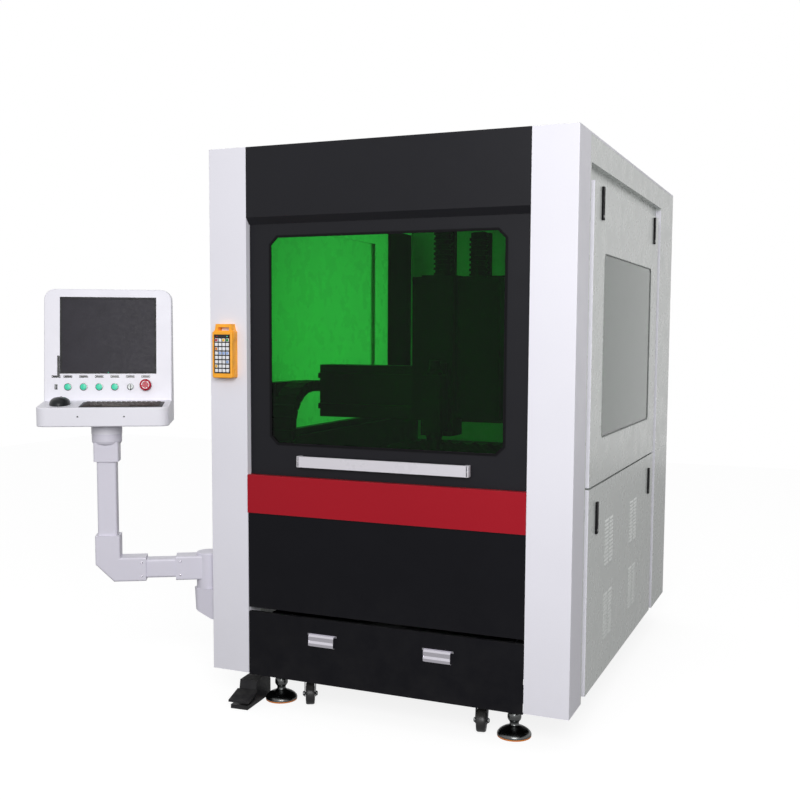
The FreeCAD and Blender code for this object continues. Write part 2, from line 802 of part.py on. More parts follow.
def make_door():
    body = new_body("door_frame")
    low, high = "(band_top + 2*seat)", "door_top"
    front, back = "door_front", "(door_front + door_leaf)"
    add(body, "XZ_Plane", [rect(f"-{LEAF_HALF}", low, LEAF_HALF, high)], front, back)
    hollow = rect(f"-{LEAF_HALF} + door_sheet", f"{low} + door_sheet",
                  f"{LEAF_HALF} - door_sheet", f"{high} - door_sheet")
    cut(body, "XZ_Plane", [hollow], f"{front} + door_sheet", f"{back} + 1")
    x, z1, z2, c = WINDOW_HALF, "window_low", "window_high", "window_chamfer"
    window = [(f"-{x} + {c}", z1), (f"{x} - {c}", z1), (x, f"{z1} + {c}"), (x, f"{z2} - {c}"),
              (f"{x} - {c}", z2), (f"-{x} + {c}", z2), (f"-{x}", f"{z2} - {c}"),
              (f"-{x}", f"{z1} + {c}")]
    cut(body, "XZ_Plane", [window], f"{front} - 1", f"{front} + 2*door_sheet")
    # sliders that run beside the door rails
    outer = f"({COLUMN_IN} - door_rail_thick - seat)"
    inner = f"({outer} - slider_width)"
    sliders = [rect(f"{x1}", height, f"{x2}", f"{height} + slider_long")
               for height in ("slider_low", "slider_high")
               for x1, x2 in ((inner, outer), (f"-{outer}", f"-{inner}"))]
    add(body, "XZ_Plane", sliders, f"{front} + door_sheet/2", "door_rail_front + door_rail_width")
    keep(body, "door_frame")
    glass_front = "door_front + door_sheet + seat"
    plate("door_glass", (f"-{WINDOW_HALF} - glass_lap", f"{WINDOW_HALF} + glass_lap"),
          (glass_front, f"{glass_front} + glass_thick"),
          ("window_low - glass_lap", "window_high + glass_lap"))


def make_door_rails():
    inner, outer = f"{COLUMN_IN} - door_rail_thick", COLUMN_IN
    y = ("door_rail_front", "door_rail_front + door_rail_width")
    rail = block((f"mid_x + {inner}", f"mid_x + {outer}"),
                 tuple(f"front_y + {text}" for text in y),
                 ("door_rail_low", "cabinet_top - roof_thick - 5"))
    keep(together("door_rails", [rail, mirrored(rail)]), "door_rails")


def make_pull_bar():
    # an open extrusion with a standing cap at each end
    body = new_body("door_handle")
    low, high, wall = "bar_low", "bar_high", "bar_wall"
    profile = [("0", low), ("0", high), ("bar_lip", high), ("bar_lip", f"{high} - {wall}"),
               (wall, f"{high} - {wall}"), (wall, f"{low} + {wall}"),
               ("bar_lip", f"{low} + {wall}"), ("bar_lip", low)]
    add(body, "YZ_Plane", [profile], "-bar_half", "bar_half")
    caps = [rect("-bar_half", low, "-bar_half + bar_cap", high),
            rect("bar_half - bar_cap", low, "bar_half", high)]
    add(body, "XZ_Plane", caps, "0", "door_front")
    for end in ("-bar_half", "bar_half"):
        soften(body, "bend", lambda edge: spans(edge, "z") and at(edge, x=end, y="0"))
    keep(body, "door_handle")


def make_drawer():
    body = new_body("waste_drawer")
    low, high = "drawer_low", "drawer_high"
    face = [("0", low), ("0", high), ("fold", high), ("fold", f"{high} - skin"),
            ("skin", f"{high} - skin"), ("skin", f"{low} + skin"), ("fold", f"{low} + skin"),
            ("fold", low)]
    add(body, "YZ_Plane", [face], f"-{LEAF_HALF}", LEAF_HALF)
    back = f"({SOURCE_FRONT} - drawer_back_gap)"
    tray = rect(f"-{TRAY_HALF}", "skin/2", TRAY_HALF, back)
    add(body, "XY_Plane", [tray], "tray_low", "tray_high")
    inside = rect(f"-{TRAY_HALF} + skin", "skin", f"{TRAY_HALF} - skin", f"{back} - skin")
    cut(body, "XY_Plane", [inside], "tray_low + skin", "tray_high + 1")
    keep(body, "waste_drawer")


def make_drawer_pulls():
    # pressed cup pulls: a flange on the drawer's face and a ribbed cup open below
    body = new_body("pull_right")
    top, low, out = "pull_high", "pull_low", "pull_proud"
    cup = [("0", f"{top} - 2"), (f"-0.55*{out}", f"{top} - 2"), (f"-0.9*{out}", f"{top} - 8"),
           (f"-0.8*{out}", f"{top} - 19"), (f"-0.8*{out}", f"{top} - 22"),
           (f"-{out}", f"{top} - 30"), (f"-0.92*{out}", f"{low} + 4"),
           (f"-0.92*{out} + pull_wall", f"{low} + 4"), (f"-{out} + pull_wall", f"{top} - 30"),
           (f"-0.8*{out} + pull_wall", f"{top} - 22"), (f"-0.8*{out} + pull_wall", f"{top} - 19"),
           (f"-0.9*{out} + pull_wall", f"{top} - 9"), (f"-0.55*{out} + 1", f"{top} - 2 - pull_wall"),
           ("0", f"{top} - 2 - pull_wall")]
    x1, x2 = "(pull_centre - pull_cup/2)", "(pull_centre + pull_cup/2)"
    add(body, "YZ_Plane", [cup], x1, x2)
    cheek = [("0", f"{top} - 2"), (f"-0.55*{out}", f"{top} - 2"), (f"-0.9*{out}", f"{top} - 8"),
             (f"-0.9*{out}", f"{low} + 4"), ("0", low)]
    for x in (x1, f"{x2} - pull_wall"):
        add(body, "YZ_Plane", [cheek], x, f"{x} + pull_wall")
    flange_in, flange_out = "pull_centre - pull_wide/2", "pull_centre + pull_wide/2"
    add(body, "XZ_Plane", [rect(flange_in, f"{top} - pull_flange", flange_out, top)],
        "-pull_wall", "0")
    add(body, "XZ_Plane", [rect(x1, low, x2, f"{low} + pull_foot")], "-2*pull_wall", "0")
    keep(together("drawer_handles", [body, mirrored(body)]), "drawer_handles")


def make_base_frame():
    # a welded frame of square tube, with the drawer's runners and the castors' top plates
    near, far = ("frame_front", "frame_front + frame_tube"), (f"{TUBE_BACK} - frame_tube", TUBE_BACK)
    left = (f"-{FRAME_HALF}", f"-{FRAME_HALF} + frame_tube")
    right = (f"{FRAME_HALF} - frame_tube", FRAME_HALF)
    whole = (f"-{FRAME_HALF}", FRAME_HALF)
    sill, ring = ("cabinet_bottom", "sill_high"), ("ring_low", "frame_top")
    pieces = [block(whole, y, z) for y in (near, far) for z in (sill, ring)]
    pieces += [block(x, (near[0], far[1]), z) for x in (left, right) for z in (sill, ring)]
    pieces += [block(x, y, ("sill_high", "ring_low")) for x in (left, right) for y in (near, far)]
    runner_in = f"({RUNNER_OUT} - runner_wide)"
    for x in ((runner_in, RUNNER_OUT), (f"-{RUNNER_OUT}", f"-{runner_in}")):
        pieces.append(block(x, (near[0], far[1]), (sill[0], "tray_low - seat")))
    for x in (CASTOR_X, f"-{CASTOR_X}"):
        for y in ("castor_y", "(cabinet_depth - castor_y)"):
            pieces.append(block((f"{x} - castor_plate/2", f"{x} + castor_plate/2"),
                                (f"{y} - castor_plate/2", f"{y} + castor_plate/2"),
                                ("castor_plate_low", "cabinet_bottom")))
    weld("base_frame", pieces)


def make_bed():
    # bed plate with the slag opening, rail risers and the long-axis rails
    body = new_body("machine_bed")
    ring = rect(f"-{FRAME_HALF}", "frame_front", FRAME_HALF, TUBE_BACK)
    opening = rect(f"-{BED_HALF}", "bed_open_front", BED_HALF, BED_BACK)
    add(body, "XY_Plane", [ring, opening], "frame_top", "bed_top")
    risers = [rect(RISER_IN, "riser_front", RISER_OUT, RISER_BACK),
              rect(f"-{RISER_OUT}", "riser_front", f"-{RISER_IN}", RISER_BACK)]
    add(body, "XY_Plane", risers, "bed_top", "riser_top")
    guides = [rect(GUIDE_IN, "riser_front", GUIDE_OUT, RISER_BACK),
              rect(f"-{GUIDE_OUT}", "riser_front", f"-{GUIDE_IN}", RISER_BACK)]
    add(body, "XY_Plane", guides, "riser_top", "guide_top")
    keep(body, "machine_bed")


def make_slat_table():
    # loose sawtooth slats, each held at both ends in a slot of the rim
    rim = new_body("table_rim")
    x, front, back = f"({BED_HALF} + table_rim/2)", "(bed_open_front - table_rim/2)", \
        f"({BED_BACK} + table_rim/2)"
    inner_x = f"({x} - table_rim)"
    end_x = f"({inner_x} + table_rim/2)"
    add(rim, "XY_Plane", [rect(f"-{x}", front, x, back),
                          rect(f"-{inner_x}", f"{front} + table_rim", inner_x,
                               f"{back} - table_rim")], "bed_top", "table_high")
    count = 14
    pitch = f"(({back}) - ({front}) - 2*table_rim)/{count}"
    first = f"({front} + table_rim + {pitch}/2)"
    slot = cut(rim, "XY_Plane", [rect(f"-{end_x} - seat", f"{first} - seat", f"{end_x} + seat",
                                      f"{first} + slat_thick + seat")],
               "slat_low - seat", "table_high + 1")
    repeat(rim, slot, "Y_Axis", pitch, count)
    keep(rim, "table_rim")
    teeth = 13
    corners = [(f"-{end_x}", "slat_low")]
    corners += [(f"-{end_x} + 2*{end_x}*{step}/{2 * teeth}",
                 "slat_high" if step % 2 else "slat_high - tooth_deep")
                for step in range(2 * teeth + 1)]
    corners.append((end_x, "slat_low"))
    slats = new_body("slat_table")
    slat = add(slats, "XZ_Plane", [corners], first, f"{first} + slat_thick")
    repeat(slats, slat, "Y_Axis", pitch, count)
    keep(slats, "slat_table")


def make_gantry():
    body = new_body("gantry_beam")
    out, half = f"({GUIDE_OUT} + truck_lap)", BEAM_HALF
    front, back = "beam_front", "beam_front + beam_thick"
    profile = [(f"-{out}", ARM_LOW), (f"-{half}", ARM_LOW), (f"-{half}", "beam_low"),
               (half, "beam_low"), (half, ARM_LOW), (out, ARM_LOW), (out, ARM_HIGH),
               (half, ARM_HIGH), (half, "beam_high"), (f"-{half}", "beam_high"),
               (f"-{half}", ARM_HIGH), (f"-{out}", ARM_HIGH)]
    add(body, "XZ_Plane", [profile], front, back)
    truck_in = f"({GUIDE_IN} - truck_lap)"
    trucks = [rect(truck_in, "truck_front", out, "truck_front + truck_long"),
              rect(f"-{out}", "truck_front", f"-{truck_in}", "truck_front + truck_long")]
    add(body, "XY_Plane", trucks, "guide_top + seat", "truck_top")
    post_in, post_back = f"({out} - post_wide)", f"({front} + post_wide)"
    posts = [rect(post_in, "post_front", out, post_back),
             rect(f"-{out}", "post_front", f"-{post_in}", post_back)]
    add(body, "XY_Plane", posts, "truck_top - 1", ARM_HIGH)
    rails = [rect(f"-{half}", z, half, f"{z} + x_rail_wide")
             for z in ("beam_low + x_rail_low", "beam_high - x_rail_high")]
    add(body, "XZ_Plane", rails, f"{front} - x_rail_deep", f"{front} + 1")
    keep(body, "gantry_beam")


def make_carriage():
    # carrier plate, head housing, cable tower and two corrugated hoses, each on its mast
    back = "(beam_front - x_rail_deep - seat)"
    front = f"({back} - carriage_plate)"
    tower_high = "(z_box_high - tower_drop)"
    pieces = [
        block(("carriage_left", "carriage_right"), (front, back), ("beam_low + 10", "z_box_high")),
        block(("z_box_left", "z_box_right"), (f"{front} - z_box_deep", front),
              ("z_box_low", "z_box_high")),
        block(("tower_left", "carriage_right"), (f"{front} - tower_deep", front),
              ("tower_low", tower_high)),
    ]
    y = f"({front} - z_box_deep/2)"
    for x, foot, ribs in (("head_x + hose_first", "z_box_high", 11),
                          ("head_x + hose_next", tower_high, 8)):
        low = f"({foot} - hose_inset)"
        top = f"({low} + {ribs}*hose_pitch + rib_gap + rib_thick)"
        pieces.append(upright(x, y, low, top, "hose_radius"))
        for rib in range(ribs):
            start = f"({low} + {rib}*hose_pitch + rib_gap)"
            pieces.append(upright(x, y, start, f"{start} + rib_thick", "hose_rib"))
        pieces.append(block((f"{x} - mast_half", f"{x} + mast_half"), (front, back),
                            ("z_box_high - 1", f"{top} + rib_gap")))
        pieces.append(block((f"{x} - hose_clip", f"{x} + hose_clip"), (y, back),
                            (f"{top} - rib_thick", f"{top} + rib_gap")))
    weld("x_carriage", pieces)


def make_cutting_head():
    # collimator, focusing body and nozzle on a slide plate before the head housing
    body = doc.addObject("PartDesign::Body", "cutting_head")
    box_front = "(beam_front - x_rail_deep - seat - carriage_plate - z_box_deep)"
    place(body, "head_x", f"{box_front} - head_size/2 - head_standoff")
    half = "head_size/2"
    tip = "nozzle_tip"
    turned(body, [("0", "head_high + 50"), ("fibre_radius", "head_high + 50"),
                  ("fibre_radius", "head_high + 20"),
                  (f"{half} - 5", "head_high + 10"), (f"{half} - 5", "head_low - 18"),
                  ("focus_radius", "head_low - 28"), ("focus_radius", f"{tip} + 46"),
                  ("nozzle_collar", f"{tip} + 40"), ("nozzle_collar", f"{tip} + 22"),
                  ("nozzle_collar - 5", f"{tip} + 16"), ("nozzle_end", tip), ("0", tip)])
    add(body, "XY_Plane", [rect(f"-{half}", f"-{half}", half, half)], "head_low", "head_high")
    slide = rect("-head_plate_half", f"{half} - 1", "head_plate_half",
                 f"{half} + head_standoff - seat")
    add(body, "XY_Plane", [slide], "head_low + 10", "head_high + 40")
    keep(body, "cutting_head")


def make_cable_chain():
    # the long-axis chain: upper run, half-round bend towards the front, lower run, with its links
    body = new_body("cable_chain")
    spine_out = "(chain_radius + chain_thick/2 - chain_spine)"
    spine_in = "(chain_radius - chain_thick/2 + chain_spine)"
    steps, lower_links, bend_links, side_gap = 16, 9, 12, 1
    link_turn = 180 // bend_links

    def bend(radius, order):
        return [(f"chain_bend_y - {radius}*cos({90 - 180 * step / steps} deg)",
                 f"{CHAIN_Z} + {radius}*sin({90 - 180 * step / steps} deg)") for step in order]

    head = "(beam_front - seat)"
    band = [(head, f"{CHAIN_Z} + {spine_in}"), (head, f"{CHAIN_Z} + {spine_out}")]
    band += bend(spine_out, range(steps + 1))
    band += [("chain_tail", f"{CHAIN_Z} - {spine_out}"), ("chain_tail", f"{CHAIN_Z} - {spine_in}")]
    band += bend(spine_in, range(steps, -1, -1))
    left = CHAIN_LEFT
    add(body, "YZ_Plane", [band], f"{left} + chain_spine", f"{CHAIN_RIGHT} - chain_spine")
    hook = rect(f"{head} - link_pitch/2", f"{CHAIN_TOP} - hook_thick", "beam_front + hook_wide",
                CHAIN_TOP)
    full_out, full_in = "(chain_radius + chain_thick/2)", "(chain_radius - chain_thick/2)"
    links = [rect("chain_bend_y + link_gap", f"{CHAIN_Z} + {full_in}", head, CHAIN_TOP)]
    for number in range(lower_links):
        y1 = f"(chain_bend_y + link_gap + {number}*link_pitch)"
        links.append(rect(y1, f"{CHAIN_Z} - {full_out}",
                          f"{y1} + link_pitch - link_gap", f"{CHAIN_Z} - {full_in}"))
    for number in range(bend_links):
        a1 = 90 - link_turn * number - side_gap
        a2 = 90 - link_turn * (number + 1) + side_gap
        links.append([(f"chain_bend_y - {radius}*cos({angle} deg)",
                       f"{CHAIN_Z} + {radius}*sin({angle} deg)")
                      for radius, angle in ((full_in, a1), (full_out, a1), (full_out, a2),
                                            (full_in, a2))])
    add(body, "YZ_Plane", links, left, CHAIN_RIGHT)
    add(body, "YZ_Plane", [hook], f"{left} + 2*chain_spine", f"{CHAIN_RIGHT} - 2*chain_spine")
    keep(body, "cable_chain")


def make_units():
    half = f"({TRAY_HALF} - source_inset)"
    plate("laser_source", (f"-{half}", half), (SOURCE_FRONT, SOURCE_BACK),
          ("tray_low", "source_high"))
    out = f"({FRAME_HALF} - controls_inset)"
    plate("control_cabinet", (f"{out} - controls_wide", out),
          ("controls_front", "controls_back"), ("sill_high", "controls_high"))


def make_feet():
    foot = doc.addObject("PartDesign::Body", "levelling_foot")
    place(foot, FOOT_X, "foot_y")
    turned(foot, [("0", "pad_thick"), ("foot_disc", "pad_thick"), ("foot_disc", "pad_thick + 5"),
                  ("0.72*foot_disc", "pad_thick + 15"), ("18", "pad_thick + 24"),
                  ("14", "pad_thick + 30"), ("stud_radius", "pad_thick + 32"),
                  ("stud_radius", "cabinet_bottom - 2*nut_thick"),
                  ("nut_radius", "cabinet_bottom - 2*nut_thick"),
                  ("nut_radius", "cabinet_bottom - nut_thick"),
                  ("stud_radius", "cabinet_bottom - nut_thick"),
                  ("stud_radius", "cabinet_bottom"), ("0", "cabinet_bottom")])
    at_four_corners("levelling_feet", foot)
    pad = doc.addObject("PartDesign::Body", "foot_pad")
    place(pad, FOOT_X, "foot_y")
    turned(pad, [("0", "0"), ("pad_radius - 3", "0"), ("pad_radius", "4"),
                 ("pad_radius", "pad_thick + 2"), ("foot_disc + seat", "pad_thick + 2"),
                 ("foot_disc + seat", "pad_thick"), ("0", "pad_thick")])
    at_four_corners("foot_pads", pad)


def make_castor(label, x, y, turn):
    # the fork turns under its plate and carries the wheel on a trailing axle
    fork = doc.addObject("PartDesign::Body", f"castor_fork_{label}")
    place(fork, x, y, "0", turn)
    inner = "(wheel_wide/2 + fork_gap)"
    outer = "(wheel_wide/2 + fork_gap + fork_wall)"
    head = "castor_plate_low - seat"
    crown = "(castor_plate_low - fork_crown)"
    add(fork, "XY_Plane", [("0", "0", "fork_half")], f"{crown} + 2", head)
    add(fork, "XY_Plane", [rect(f"-{outer}", "-fork_half", outer, "fork_half")], crown,
        f"{crown} + 4")
    leg = [("fork_half - 2", f"{crown} + 3"), ("-fork_half", f"{crown} + 3"),
           ("-castor_trail - 13", "axle_high + 8"),
           ("-castor_trail - 9", "axle_high - 9"), ("-castor_trail + 9", "axle_high - 9"),
           ("-castor_trail + 15", "axle_high + 8")]
    for side in (inner, f"-{outer}"):
        add(fork, "YZ_Plane", [leg], side, f"{side} + fork_wall")
    axle = [("-castor_trail", "axle_high", "axle_radius")]
    add(fork, "YZ_Plane", axle, f"-{outer} - axle_end", f"{outer} + axle_end")
    keep(fork, f"castor_fork_{label}")
    wheel = doc.addObject("PartDesign::Body", f"castor_wheel_{label}")
    place(wheel, f"({x}) + castor_trail*sin(({turn}) * 1 deg)",
          f"({y}) - castor_trail*cos(({turn}) * 1 deg)", "axle_high", turn)
    half, tread, bore = "wheel_wide/2", "wheel_radius", "(axle_radius + seat)"
    turned(wheel, [(f"-{half} + 1", bore), (f"-{half} + 1", "12"), (f"-{half} + 5", "14"),
                   (f"-{half} + 5", f"{tread} - 10"), (f"-{half}", f"{tread} - 8"),
                   (f"-{half}", f"{tread} - 3"), (f"-{half} + 5", tread), (f"{half} - 5", tread),
                   (half, f"{tread} - 3"), (half, f"{tread} - 8"), (f"{half} - 5", f"{tread} - 10"),
                   (f"{half} - 5", "14"), (f"{half} - 1", "12"), (f"{half} - 1", bore)], "H_Axis")
    keep(wheel, f"castor_wheel_{label}")


def make_castors():
    rear = "cabinet_depth - castor_y"
    for label, x, y, turn in (("front_left", f"-{CASTOR_X}", "castor_y", "28"),
                              ("front_right", CASTOR_X, "castor_y", "12"),
                              ("rear_left", f"-{CASTOR_X}", rear, "-20"),
                              ("rear_right", CASTOR_X, rear, "16")):
        make_castor(label, x, y, turn)


def sleeve_socket(body, role, middle_x, middle_z, low, high):
    half_tall, half_deep = "(tube_tall/2 + seat)", "(tube_deep/2 + seat)"
    if role == "YZ_Plane":
        outline = rect(f"-{half_deep}", f"{middle_z} - {half_tall}", half_deep,
                       f"{middle_z} + {half_tall}")
    else:
        outline = rect(f"{middle_x} - {half_tall}", f"-{half_deep}", f"{middle_x} + {half_tall}",
                       half_deep)
    cut(body, role, [outline], low, high)


def make_arm_bracket():
    body = doc.addObject("PartDesign::Body", "arm_bracket")
    place(body, "-cabinet_width/2 - arm_reach", "arm_back")
    wall, r = "arm_reach", "turret_radius"
    low, top = f"{BRACKET_TOP} - bracket_tall", f"{BRACKET_TOP} - seat"
    side = [(wall, low), (wall, f"{BRACKET_TOP} + bracket_rise"),
            (f"{wall} - bracket_flange", f"{BRACKET_TOP} + bracket_rise"),
            (f"{wall} - bracket_flange", top), (f"-{r}", top),
            (f"-{r} + 4", f"{BRACKET_TOP} - 0.7*bracket_tall"), (f"{wall} - 25", low)]
    add(body, "XZ_Plane", [side], f"-{r}", r)
    soften(body, "0.6*turret_radius", lambda edge: edge.BoundBox.Center.x < value(f"-{r} + 10")
           and edge.BoundBox.ZLength > 20 and edge.BoundBox.YLength < 1)
    keep(body, "arm_bracket")


def make_arm_swivel():
    body = doc.addObject("PartDesign::Body", "arm_swivel")
    place_on_arm(body)
    add(body, "XY_Plane", [("0", "0", "turret_radius")], BRACKET_TOP, TURRET_TOP)
    z1, z2 = "(arm_height - sleeve_tall/2)", "(arm_height + sleeve_tall/2)"
    add(body, "YZ_Plane", [rect("-sleeve_deep/2", z1, "sleeve_deep/2", z2)],
        "-turret_sleeve_end", "0")
    soften(body, "sleeve_round", lambda edge: spans(edge, "x")
           and edge.Length > value("turret_sleeve_end/3"))
    soften(body, "turret_round", lambda edge: edge.BoundBox.Center.z > value(TURRET_TOP) - 0.1)
    sleeve_socket(body, "YZ_Plane", "0", "arm_height", "-turret_sleeve_end - 1",
                  "-turret_sleeve_end + socket_deep")
    keep(body, "arm_swivel")


def make_arm_tubes():
    half, deep, wall = "tube_tall/2", "tube_deep/2", "tube_wall"
    level = doc.addObject("PartDesign::Body", "arm_tube_level")
    place_on_arm(level)
    z = "arm_height"
    outside = rect(f"-{deep}", f"{z} - {half}", deep, f"{z} + {half}")
    inside = rect(f"-{deep} + {wall}", f"{z} - {half} + {wall}", f"{deep} - {wall}",
                  f"{z} + {half} - {wall}")
    low = "-elbow_sleeve_end - socket_deep + seat"
    high = "-turret_sleeve_end + socket_deep - seat"
    add(level, "YZ_Plane", [outside, inside], low, high)
    soften(level, "tube_round", lambda edge: spans(edge, "x") and
           abs(edge.BoundBox.Center.y) > value(f"{deep} - 1"))
    keep(level, "arm_tube_level")
    riser = doc.addObject("PartDesign::Body", "arm_tube_upright")
    place_on_arm(riser)
    x = "-upright_x"
    outside = rect(f"{x} - {half}", f"-{deep}", f"{x} + {half}", deep)
    inside = rect(f"{x} - {half} + {wall}", f"-{deep} + {wall}", f"{x} + {half} - {wall}",
                  f"{deep} - {wall}")
    add(riser, "XY_Plane", [outside, inside], f"{ELBOW_TOP} - socket_deep + seat",
        f"{COUPLING_LOW} + socket_deep - seat")
    soften(riser, "tube_round", lambda edge: spans(edge, "z") and
           abs(edge.BoundBox.Center.y) > value(f"{deep} - 1"))
    keep(riser, "arm_tube_upright")


def make_arm_elbow():
    body = doc.addObject("PartDesign::Body", "arm_elbow")
    place_on_arm(body)
    half = "sleeve_tall/2"
    left, right = f"(-upright_x - {half})", f"(-upright_x + {half})"
    low, high = f"(arm_height - {half})", f"(arm_height + {half})"
    outline = [(left, ELBOW_TOP), (left, f"{low} + elbow_chamfer"), (f"{left} + elbow_chamfer", low),
               ("-elbow_sleeve_end", low), ("-elbow_sleeve_end", high), (right, high),
               (right, ELBOW_TOP)]
    add(body, "XZ_Plane", [outline], "-sleeve_deep/2", "sleeve_deep/2")
    face = "sleeve_deep/2"
    soften(body, "sleeve_round",
           lambda edge: abs(abs(edge.BoundBox.Center.y) - value(face)) < 0.1
           and not at(edge, z=ELBOW_TOP) and not at(edge, x="-elbow_sleeve_end"))
    sleeve_socket(body, "YZ_Plane", "0", "arm_height", "-elbow_sleeve_end - socket_deep",
                  "-elbow_sleeve_end + 1")
    sleeve_socket(body, "XY_Plane", "-upright_x", "0", f"{ELBOW_TOP} - socket_deep", f"{ELBOW_TOP} + 1")
    keep(body, "arm_elbow")


def make_arm_coupling():
    body = doc.addObject("PartDesign::Body", "arm_coupling")
    place_on_arm(body)
    x, half = "-upright_x", "sleeve_tall/2"
    add(body, "XY_Plane", [rect(f"{x} - {half}", "-sleeve_deep/2", f"{x} + {half}", "sleeve_deep/2")],
        COUPLING_LOW, f"{COUPLING_RING} + 4")
    soften(body, "sleeve_round", lambda edge: spans(edge, "z"))
    turned(body, [("0", f"{COUPLING_RING} - 8"), ("ring_radius - 14", f"{COUPLING_RING} - 8"),
                  ("ring_radius - 4", f"{COUPLING_RING} - 2"), ("ring_radius", f"{COUPLING_RING} + 6"),
                  ("ring_radius", f"{TURNTABLE_LOW} - seat"), ("0", f"{TURNTABLE_LOW} - seat")],
           centre=x)
    sleeve_socket(body, "XY_Plane", x, "0", f"{COUPLING_LOW} - 1", f"{COUPLING_LOW} + socket_deep")
    keep(body, "arm_coupling")


TRAY_BACK = "(tray_deep - console_front)"
PANEL_FOOT = f"({TRAY_EDGE} + tray_deep*tan(tray_slope * 1 deg))"
PANEL_LEAN = "(panel_tall*sin(panel_tilt * 1 deg))"
PANEL_RISE = "(panel_tall*cos(panel_tilt * 1 deg))"


def on_panel(body, loops, start):
    # a sketch in the plane of the tilted control panel: x across from the console's middle, y up
    # the panel from its foot; start is the height above the panel
    sketch = draw(body, "XZ_Plane", loops, "0")
    sketch.AttachmentOffset = Placement(Vector(), Rotation(Vector(-1, 0, 0), value("panel_tilt")))
    bind(sketch, AttachmentOffset__Rotation__Angle="panel_tilt * 1 deg",
         AttachmentOffset__Base__x="-upright_x",
         AttachmentOffset__Base__y=f"{PANEL_FOOT} + ({start})*sin(panel_tilt * 1 deg)",
         AttachmentOffset__Base__z=f"-{TRAY_BACK} + ({start})*cos(panel_tilt * 1 deg)")
    return sketch


def on_tray(body, loops, start):
    # a sketch in the plane of the sloping tray: x from the console's middle, y back from its edge
    sketch = draw(body, "XY_Plane", loops, "0")
    sketch.AttachmentOffset = Placement(Vector(), Rotation(Vector(1, 0, 0), value("tray_slope")))
    bind(sketch, AttachmentOffset__Rotation__Angle="tray_slope * 1 deg",
         AttachmentOffset__Base__x="-upright_x",
         AttachmentOffset__Base__y=f"-console_front - ({start})*sin(tray_slope * 1 deg)",
         AttachmentOffset__Base__z=f"{TRAY_EDGE} + ({start})*cos(tray_slope * 1 deg)")
    return sketch


def grow(body, sketch, length):
    pad = body.newObject("PartDesign::Pad", "pad")
    pad.Profile = sketch
    bind(pad, Length=length)
    body.Tip = pad
    return pad


def sink(body, sketch, length):
    doc.recompute()
    before = body.Shape.Volume
    pocket = body.newObject("PartDesign::Pocket", "pocket")
    pocket.Profile = sketch
    bind(pocket, Length=length)
    body.Tip = pocket
    doc.recompute()
    if body.Shape.Volume > before - 1e-3:
        raise RuntimeError(f"a pocket of {body.Name} cuts nothing")


def button_x(number):
    return f"button_first + {number}*button_pitch"


def make_console_housing():
    # one welded housing: keyboard tray, tilted panel and back, on the turntable of the arm
    body = doc.addObject("PartDesign::Body", "console_housing")
    place_on_arm(body)
    top = f"({PANEL_FOOT} + {PANEL_RISE})"
    side = [("-console_front", "console_low"), ("-console_front", TRAY_EDGE),
            (TRAY_BACK, PANEL_FOOT), (f"{TRAY_BACK} + {PANEL_LEAN}", top), ("console_back", top),
            ("console_back", "console_low")]
    left, right = "(-upright_x - console_width/2)", "(-upright_x + console_width/2)"
    add(body, "YZ_Plane", [side], left, right)
    soften(body, "console_corner", lambda edge: spans(edge, "z") and at(edge, y="-console_front"))
    soften(body, "panel_corner", lambda edge: spans(edge, "y") and at(edge, z=top))
    soften(body, "4", lambda edge: edge.BoundBox.XLength > value("console_width - 2*panel_corner - 1")
           and (at(edge, z=top) or at(edge, z=TRAY_EDGE) or at(edge, z="console_low")
                and edge.BoundBox.Center.y < 0))
    screen = rect("-screen_half - seat", "screen_low - seat", "screen_half + seat",
                  "screen_low + screen_tall + seat")
    sink(body, on_panel(body, [screen], "0"), "screen_deep + seat")
    bores = [(button_x(number), "button_row", "button_bore") for number in range(4)]
    bores += [(button_x(4), "button_row", "key_bore"),
              (button_x(5), "button_row + stop_rise", "button_bore")]
    sink(body, on_panel(body, bores, "0"), "control_deep + 6")
    bay = rect("keyboard_left - seat", "keyboard_front - seat",
               "keyboard_left + keyboard_wide + seat", "keyboard_front + keyboard_deep + seat")
    sink(body, on_tray(body, [bay], "0"), "keyboard_set + seat")
    add(body, "XY_Plane", [("-upright_x", "0", "ring_radius + 1")], TURNTABLE_LOW, "console_low + 1")
    keep(body, "console_housing")


def make_screen():
    # the display panel: a thin bezel round a sunk glass
    body = doc.addObject("PartDesign::Body", "screen")
    place_on_arm(body)
    x, low, high, edge = "screen_half", "screen_low", "(screen_low + screen_tall)", "screen_bezel"
    outer = rect(f"-{x}", low, x, high)
    grow(body, on_panel(body, [outer], "-screen_deep"), "screen_deep + screen_proud")
    glass = rect(f"-{x} + {edge}", f"{low} + {edge}", f"{x} - {edge}", f"{high} - {edge}")
    sink(body, on_panel(body, [glass], "screen_proud"), "screen_sunk")
    keep(body, "screen")


def make_keyboard():
    body = doc.addObject("PartDesign::Body", "keyboard")
    place_on_arm(body)
    x1, x2 = "keyboard_left", "(keyboard_left + keyboard_wide)"
    outer = rect(x1, "keyboard_front", x2, "keyboard_front + keyboard_deep")
    grow(body, on_tray(body, [outer], "-keyboard_set"), "keyboard_set + 2")
    starts = [f"(keyboard_front + 9 + {row}*key_row_pitch)" for row in range(5)]
    rows = [rect(f"{x1} + 10", start, f"{x2} - 10", f"{start} + key_row_deep") for start in starts]
    grow(body, on_tray(body, rows, "1"), "4")
    keep(body, "keyboard")


